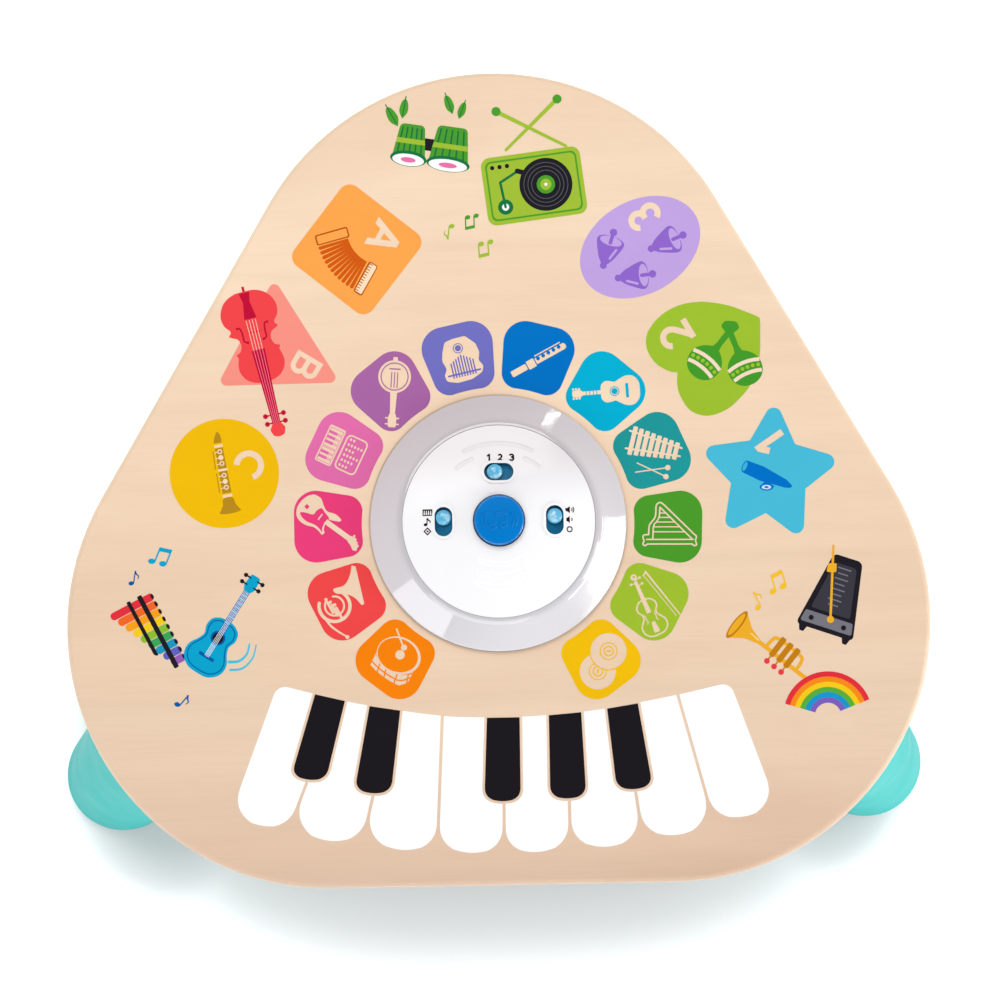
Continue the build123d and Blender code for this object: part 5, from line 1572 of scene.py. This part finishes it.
emboss = [
    ellipse(-3.2, -3.6, 1.9, 1.35, 20, 22) + ellipse(-3.2, -3.6, 1.9, 1.35, 20, 22)[:1],
    ellipse(2.6, -2.6, 1.9, 1.35, 20, 22) + ellipse(2.6, -2.6, 1.9, 1.35, 20, 22)[:1],
    [(-1.4, -3.2), (-1.4, 3.6), (4.4, 4.6), (4.4, -2.2)],
    [(-1.4, 2.2), (4.4, 3.2)],
    bow(0.6, 0.2, 7.6, 150, 208),
    bow(0.6, 0.2, 7.6, -28, 30),
    bow(0.6, 0.2, 9.2, 158, 200),
    bow(0.6, 0.2, 9.2, -20, 22),
]
emboss = [[(x * 0.92 - 0.4, y * 0.92) for x, y in st] for st in emboss]
raised_lines("button_note", emboss, crown, body="start_button", material=mats["button_blue"])

# ---------------------------------------------------------------- floor and light
me = bpy.data.meshes.new("floor")
me.from_pydata([(-6, -6, 0), (6, -6, 0), (6, 6, 0), (-6, 6, 0)], [], [(0, 1, 2, 3)])
floor = bpy.data.objects.new("floor", me)
scene.collection.objects.link(floor)
fl = plain("floor_white", [0.90, 0.903, 0.914], 0.6, 0.006, 3.0, 0.0)
# A lit backdrop with a painted shadow: it glows a little everywhere but under the table and just in front of it, where
# its colour is also painted darker.
ft = fl.node_tree
fb = next(n for n in ft.nodes if n.type == "BSDF_PRINCIPLED")
fc = ft.nodes.new("ShaderNodeTexCoord")
sides = []
for nx, ny, d in ((0.849, 0.529, 0.172), (-0.849, 0.529, 0.172), (0.0, -1.0, 0.215)):
    dp = ft.nodes.new("ShaderNodeVectorMath")
    dp.operation = "DOT_PRODUCT"
    dp.inputs[1].default_value = (nx, ny, 0)
    ft.links.new(fc.outputs["Object"], dp.inputs[0])
    su = ft.nodes.new("ShaderNodeMath")
    su.operation = "SUBTRACT"
    su.inputs[1].default_value = d + nx * AX + ny * AY
    ft.links.new(dp.outputs["Value"], su.inputs[0])
    sides.append(su.outputs[0])
far = sides[0]
for other in sides[1:]:
    mx_ = ft.nodes.new("ShaderNodeMath")
    mx_.operation = "SMOOTH_MAX"
    mx_.inputs[2].default_value = 0.08
    ft.links.new(far, mx_.inputs[0])
    ft.links.new(other, mx_.inputs[1])
    far = mx_.outputs[0]
ln = ft.nodes.new("ShaderNodeVectorMath")
ln.operation = "DISTANCE"
ln.inputs[1].default_value = (AX, AY, 0)
ft.links.new(fc.outputs["Object"], ln.inputs[0])
rd = ft.nodes.new("ShaderNodeMath")
rd.operation = "SUBTRACT"
rd.inputs[1].default_value = 0.238
ft.links.new(ln.outputs["Value"], rd.inputs[0])
mx_ = ft.nodes.new("ShaderNodeMath")
mx_.operation = "SMOOTH_MAX"
mx_.inputs[2].default_value = 0.06
ft.links.new(far, mx_.inputs[0])
ft.links.new(rd.outputs[0], mx_.inputs[1])
far = mx_.outputs[0]
# The painted shadow reaches out past the two front feet.
for fx, fy, fr in ((-0.1978, -0.2051, 0.075), (0.1978, -0.2051, 0.065)):
    fd = ft.nodes.new("ShaderNodeVectorMath")
    fd.operation = "DISTANCE"
    fd.inputs[1].default_value = (fx, fy, 0)
    ft.links.new(fc.outputs["Object"], fd.inputs[0])
    fm = ft.nodes.new("ShaderNodeMath")
    fm.operation = "MULTIPLY_ADD"
    fm.inputs[1].default_value, fm.inputs[2].default_value = 1.7, 0.014 + 1.7 * (0.026 - fr)
    ft.links.new(fd.outputs["Value"], fm.inputs[0])
    mn_ = ft.nodes.new("ShaderNodeMath")
    mn_.operation = "SMOOTH_MIN"
    mn_.inputs[2].default_value = 0.02
    ft.links.new(far, mn_.inputs[0])
    ft.links.new(fm.outputs[0], mn_.inputs[1])
    far = mn_.outputs[0]
gl = ft.nodes.new("ShaderNodeMapRange")
gl.interpolation_type = "SMOOTHSTEP"
gl.inputs["From Min"].default_value, gl.inputs["From Max"].default_value = 0.014, 0.072
gl.inputs["To Min"].default_value, gl.inputs["To Max"].default_value = 0.0, 0.44
ft.links.new(far, gl.inputs["Value"])
# Painted shadow: the floor's colour is darkened under and just in front of the table.
sh = ft.nodes.new("ShaderNodeMapRange")
sh.interpolation_type = "SMOOTHSTEP"
sh.inputs["From Min"].default_value, sh.inputs["From Max"].default_value = -0.03, 0.05
sh.inputs["To Min"].default_value, sh.inputs["To Max"].default_value = 0.69, 1.0
ft.links.new(far, sh.inputs["Value"])
tone_ = fb.inputs["Base Color"].links[0].from_socket
dk = ft.nodes.new("ShaderNodeMix")
dk.data_type, dk.blend_type = "RGBA", "MULTIPLY"
dk.inputs[0].default_value = 1.0
ft.links.new(tone_, dk.inputs[6])
ft.links.new(sh.outputs["Result"], dk.inputs[7])
ft.links.new(dk.outputs[2], fb.inputs["Base Color"])
fb.inputs["Emission Color"].default_value = (1, 1, 1, 1)
ft.links.new(gl.outputs["Result"], fb.inputs["Emission Strength"])
me.materials.append(fl)

world = bpy.data.worlds.new("studio")
scene.world = world
world.use_nodes = True
wt = world.node_tree
bg = wt.nodes["Background"]
bg.inputs["Strength"].default_value = 0.72
# A dark zone overhead, where a photographer and the ceiling are, and pale walls all round.
wc = wt.nodes.new("ShaderNodeTexCoord")
ws = wt.nodes.new("ShaderNodeSeparateXYZ")
wm = wt.nodes.new("ShaderNodeMapRange")
wm.inputs["From Min"].default_value, wm.inputs["From Max"].default_value = 0.72, 0.93
wx = wt.nodes.new("ShaderNodeMix")
wx.data_type = "RGBA"
wx.inputs[6].default_value = (0.95, 0.975, 1.0, 1)
wx.inputs[7].default_value = (0.30, 0.31, 0.32, 1)
wt.links.new(wc.outputs["Generated"], ws.inputs[0])
wt.links.new(ws.outputs["Z"], wm.inputs["Value"])
wt.links.new(wm.outputs["Result"], wx.inputs[0])
wt.links.new(wx.outputs[2], bg.inputs["Color"])
# The room is brighter to the right and in front.
wd = wt.nodes.new("ShaderNodeVectorMath")
wd.operation = "DOT_PRODUCT"
wd.inputs[1].default_value = (0.06, -0.10, 0.0)
wa = wt.nodes.new("ShaderNodeMath")
wa.operation = "MULTIPLY_ADD"
wa.inputs[1].default_value, wa.inputs[2].default_value = 0.72, 0.72
wt.links.new(wc.outputs["Generated"], wd.inputs[0])
wt.links.new(wd.outputs["Value"], wa.inputs[0])
wt.links.new(wa.outputs[0], bg.inputs["Strength"])


def area(name, loc, target, w, h, level, colour=(1, 1, 1), at=(0, -0.0586, 0.288)):
    """A soft light, by the level it should give on a flat surface at a point."""
    li = bpy.data.lights.new(name, "AREA")
    li.shape, li.size, li.size_y = "RECTANGLE", w, h
    d, e = Vector(at) - Vector(loc), Vector(target) - Vector(loc)
    fall = max(0.02, -d.normalized().z) * max(0.05, d.normalized().dot(e.normalized())) / d.length_squared
    li.energy, li.color = level * math.pi**2 / fall, colour
    ob = bpy.data.objects.new(name, li)
    scene.collection.objects.link(ob)
    ob.location = loc
    ob.rotation_euler = e.to_track_quat("-Z", "Y").to_euler()
    ob.visible_camera = False
    return ob




def card(name, az, el, w, h, dist, glow, colour=(1, 1, 1), roll=0.0):
    """A bright card by its bearing from the control unit, clockwise from +Y, and its own brightness."""
    a, e = math.radians(az), math.radians(el)
    hub = Vector((AX, AY, 0.300))
    loc = hub + dist * Vector((math.sin(a) * math.cos(e), math.cos(a) * math.cos(e), math.sin(e)))
    li = bpy.data.lights.new(name, "AREA")
    li.shape, li.size, li.size_y = "RECTANGLE", w, h
    li.energy, li.color = glow * math.pi * w * h, colour
    ob = bpy.data.objects.new(name, li)
    scene.collection.objects.link(ob)
    ob.location = loc
    ob.rotation_euler = ((hub - loc).to_track_quat("-Z", "Y") @ Quaternion((0, 0, 1), math.radians(roll))).to_euler()
    ob.visible_camera = False
    return ob


area("back_soft", (-0.30, 1.165, 2.114), (0, 0.0, 0.288), 2.04, 1.41, 0.605, (1.0, 0.985, 0.965))
area("front_soft", (-0.60, -2.60, 1.75), (0, -0.05, 0.288), 3.2, 1.8, 0.20)
card("card_right", 116.5, 1.25, 1.56, 0.354, 2.2, 6.6, (1, 1, 1), -1.2)
card("card_right_near", 91.0, 2.0, 0.54, 0.17, 2.2, 6.6, (1, 1, 1), -5.3)
card("card_right_top", 110.0, 18.2, 0.84, 0.93, 2.2, 6.4)
card("card_left", 224.0, 6.0, 1.26, 0.53, 2.2, 2.95, (0.955, 1.0, 1.03))
card("card_edge", 26.8, 0.74, 0.215, 0.0055, 2.2, 34.0, (1, 1, 1), 4.5)
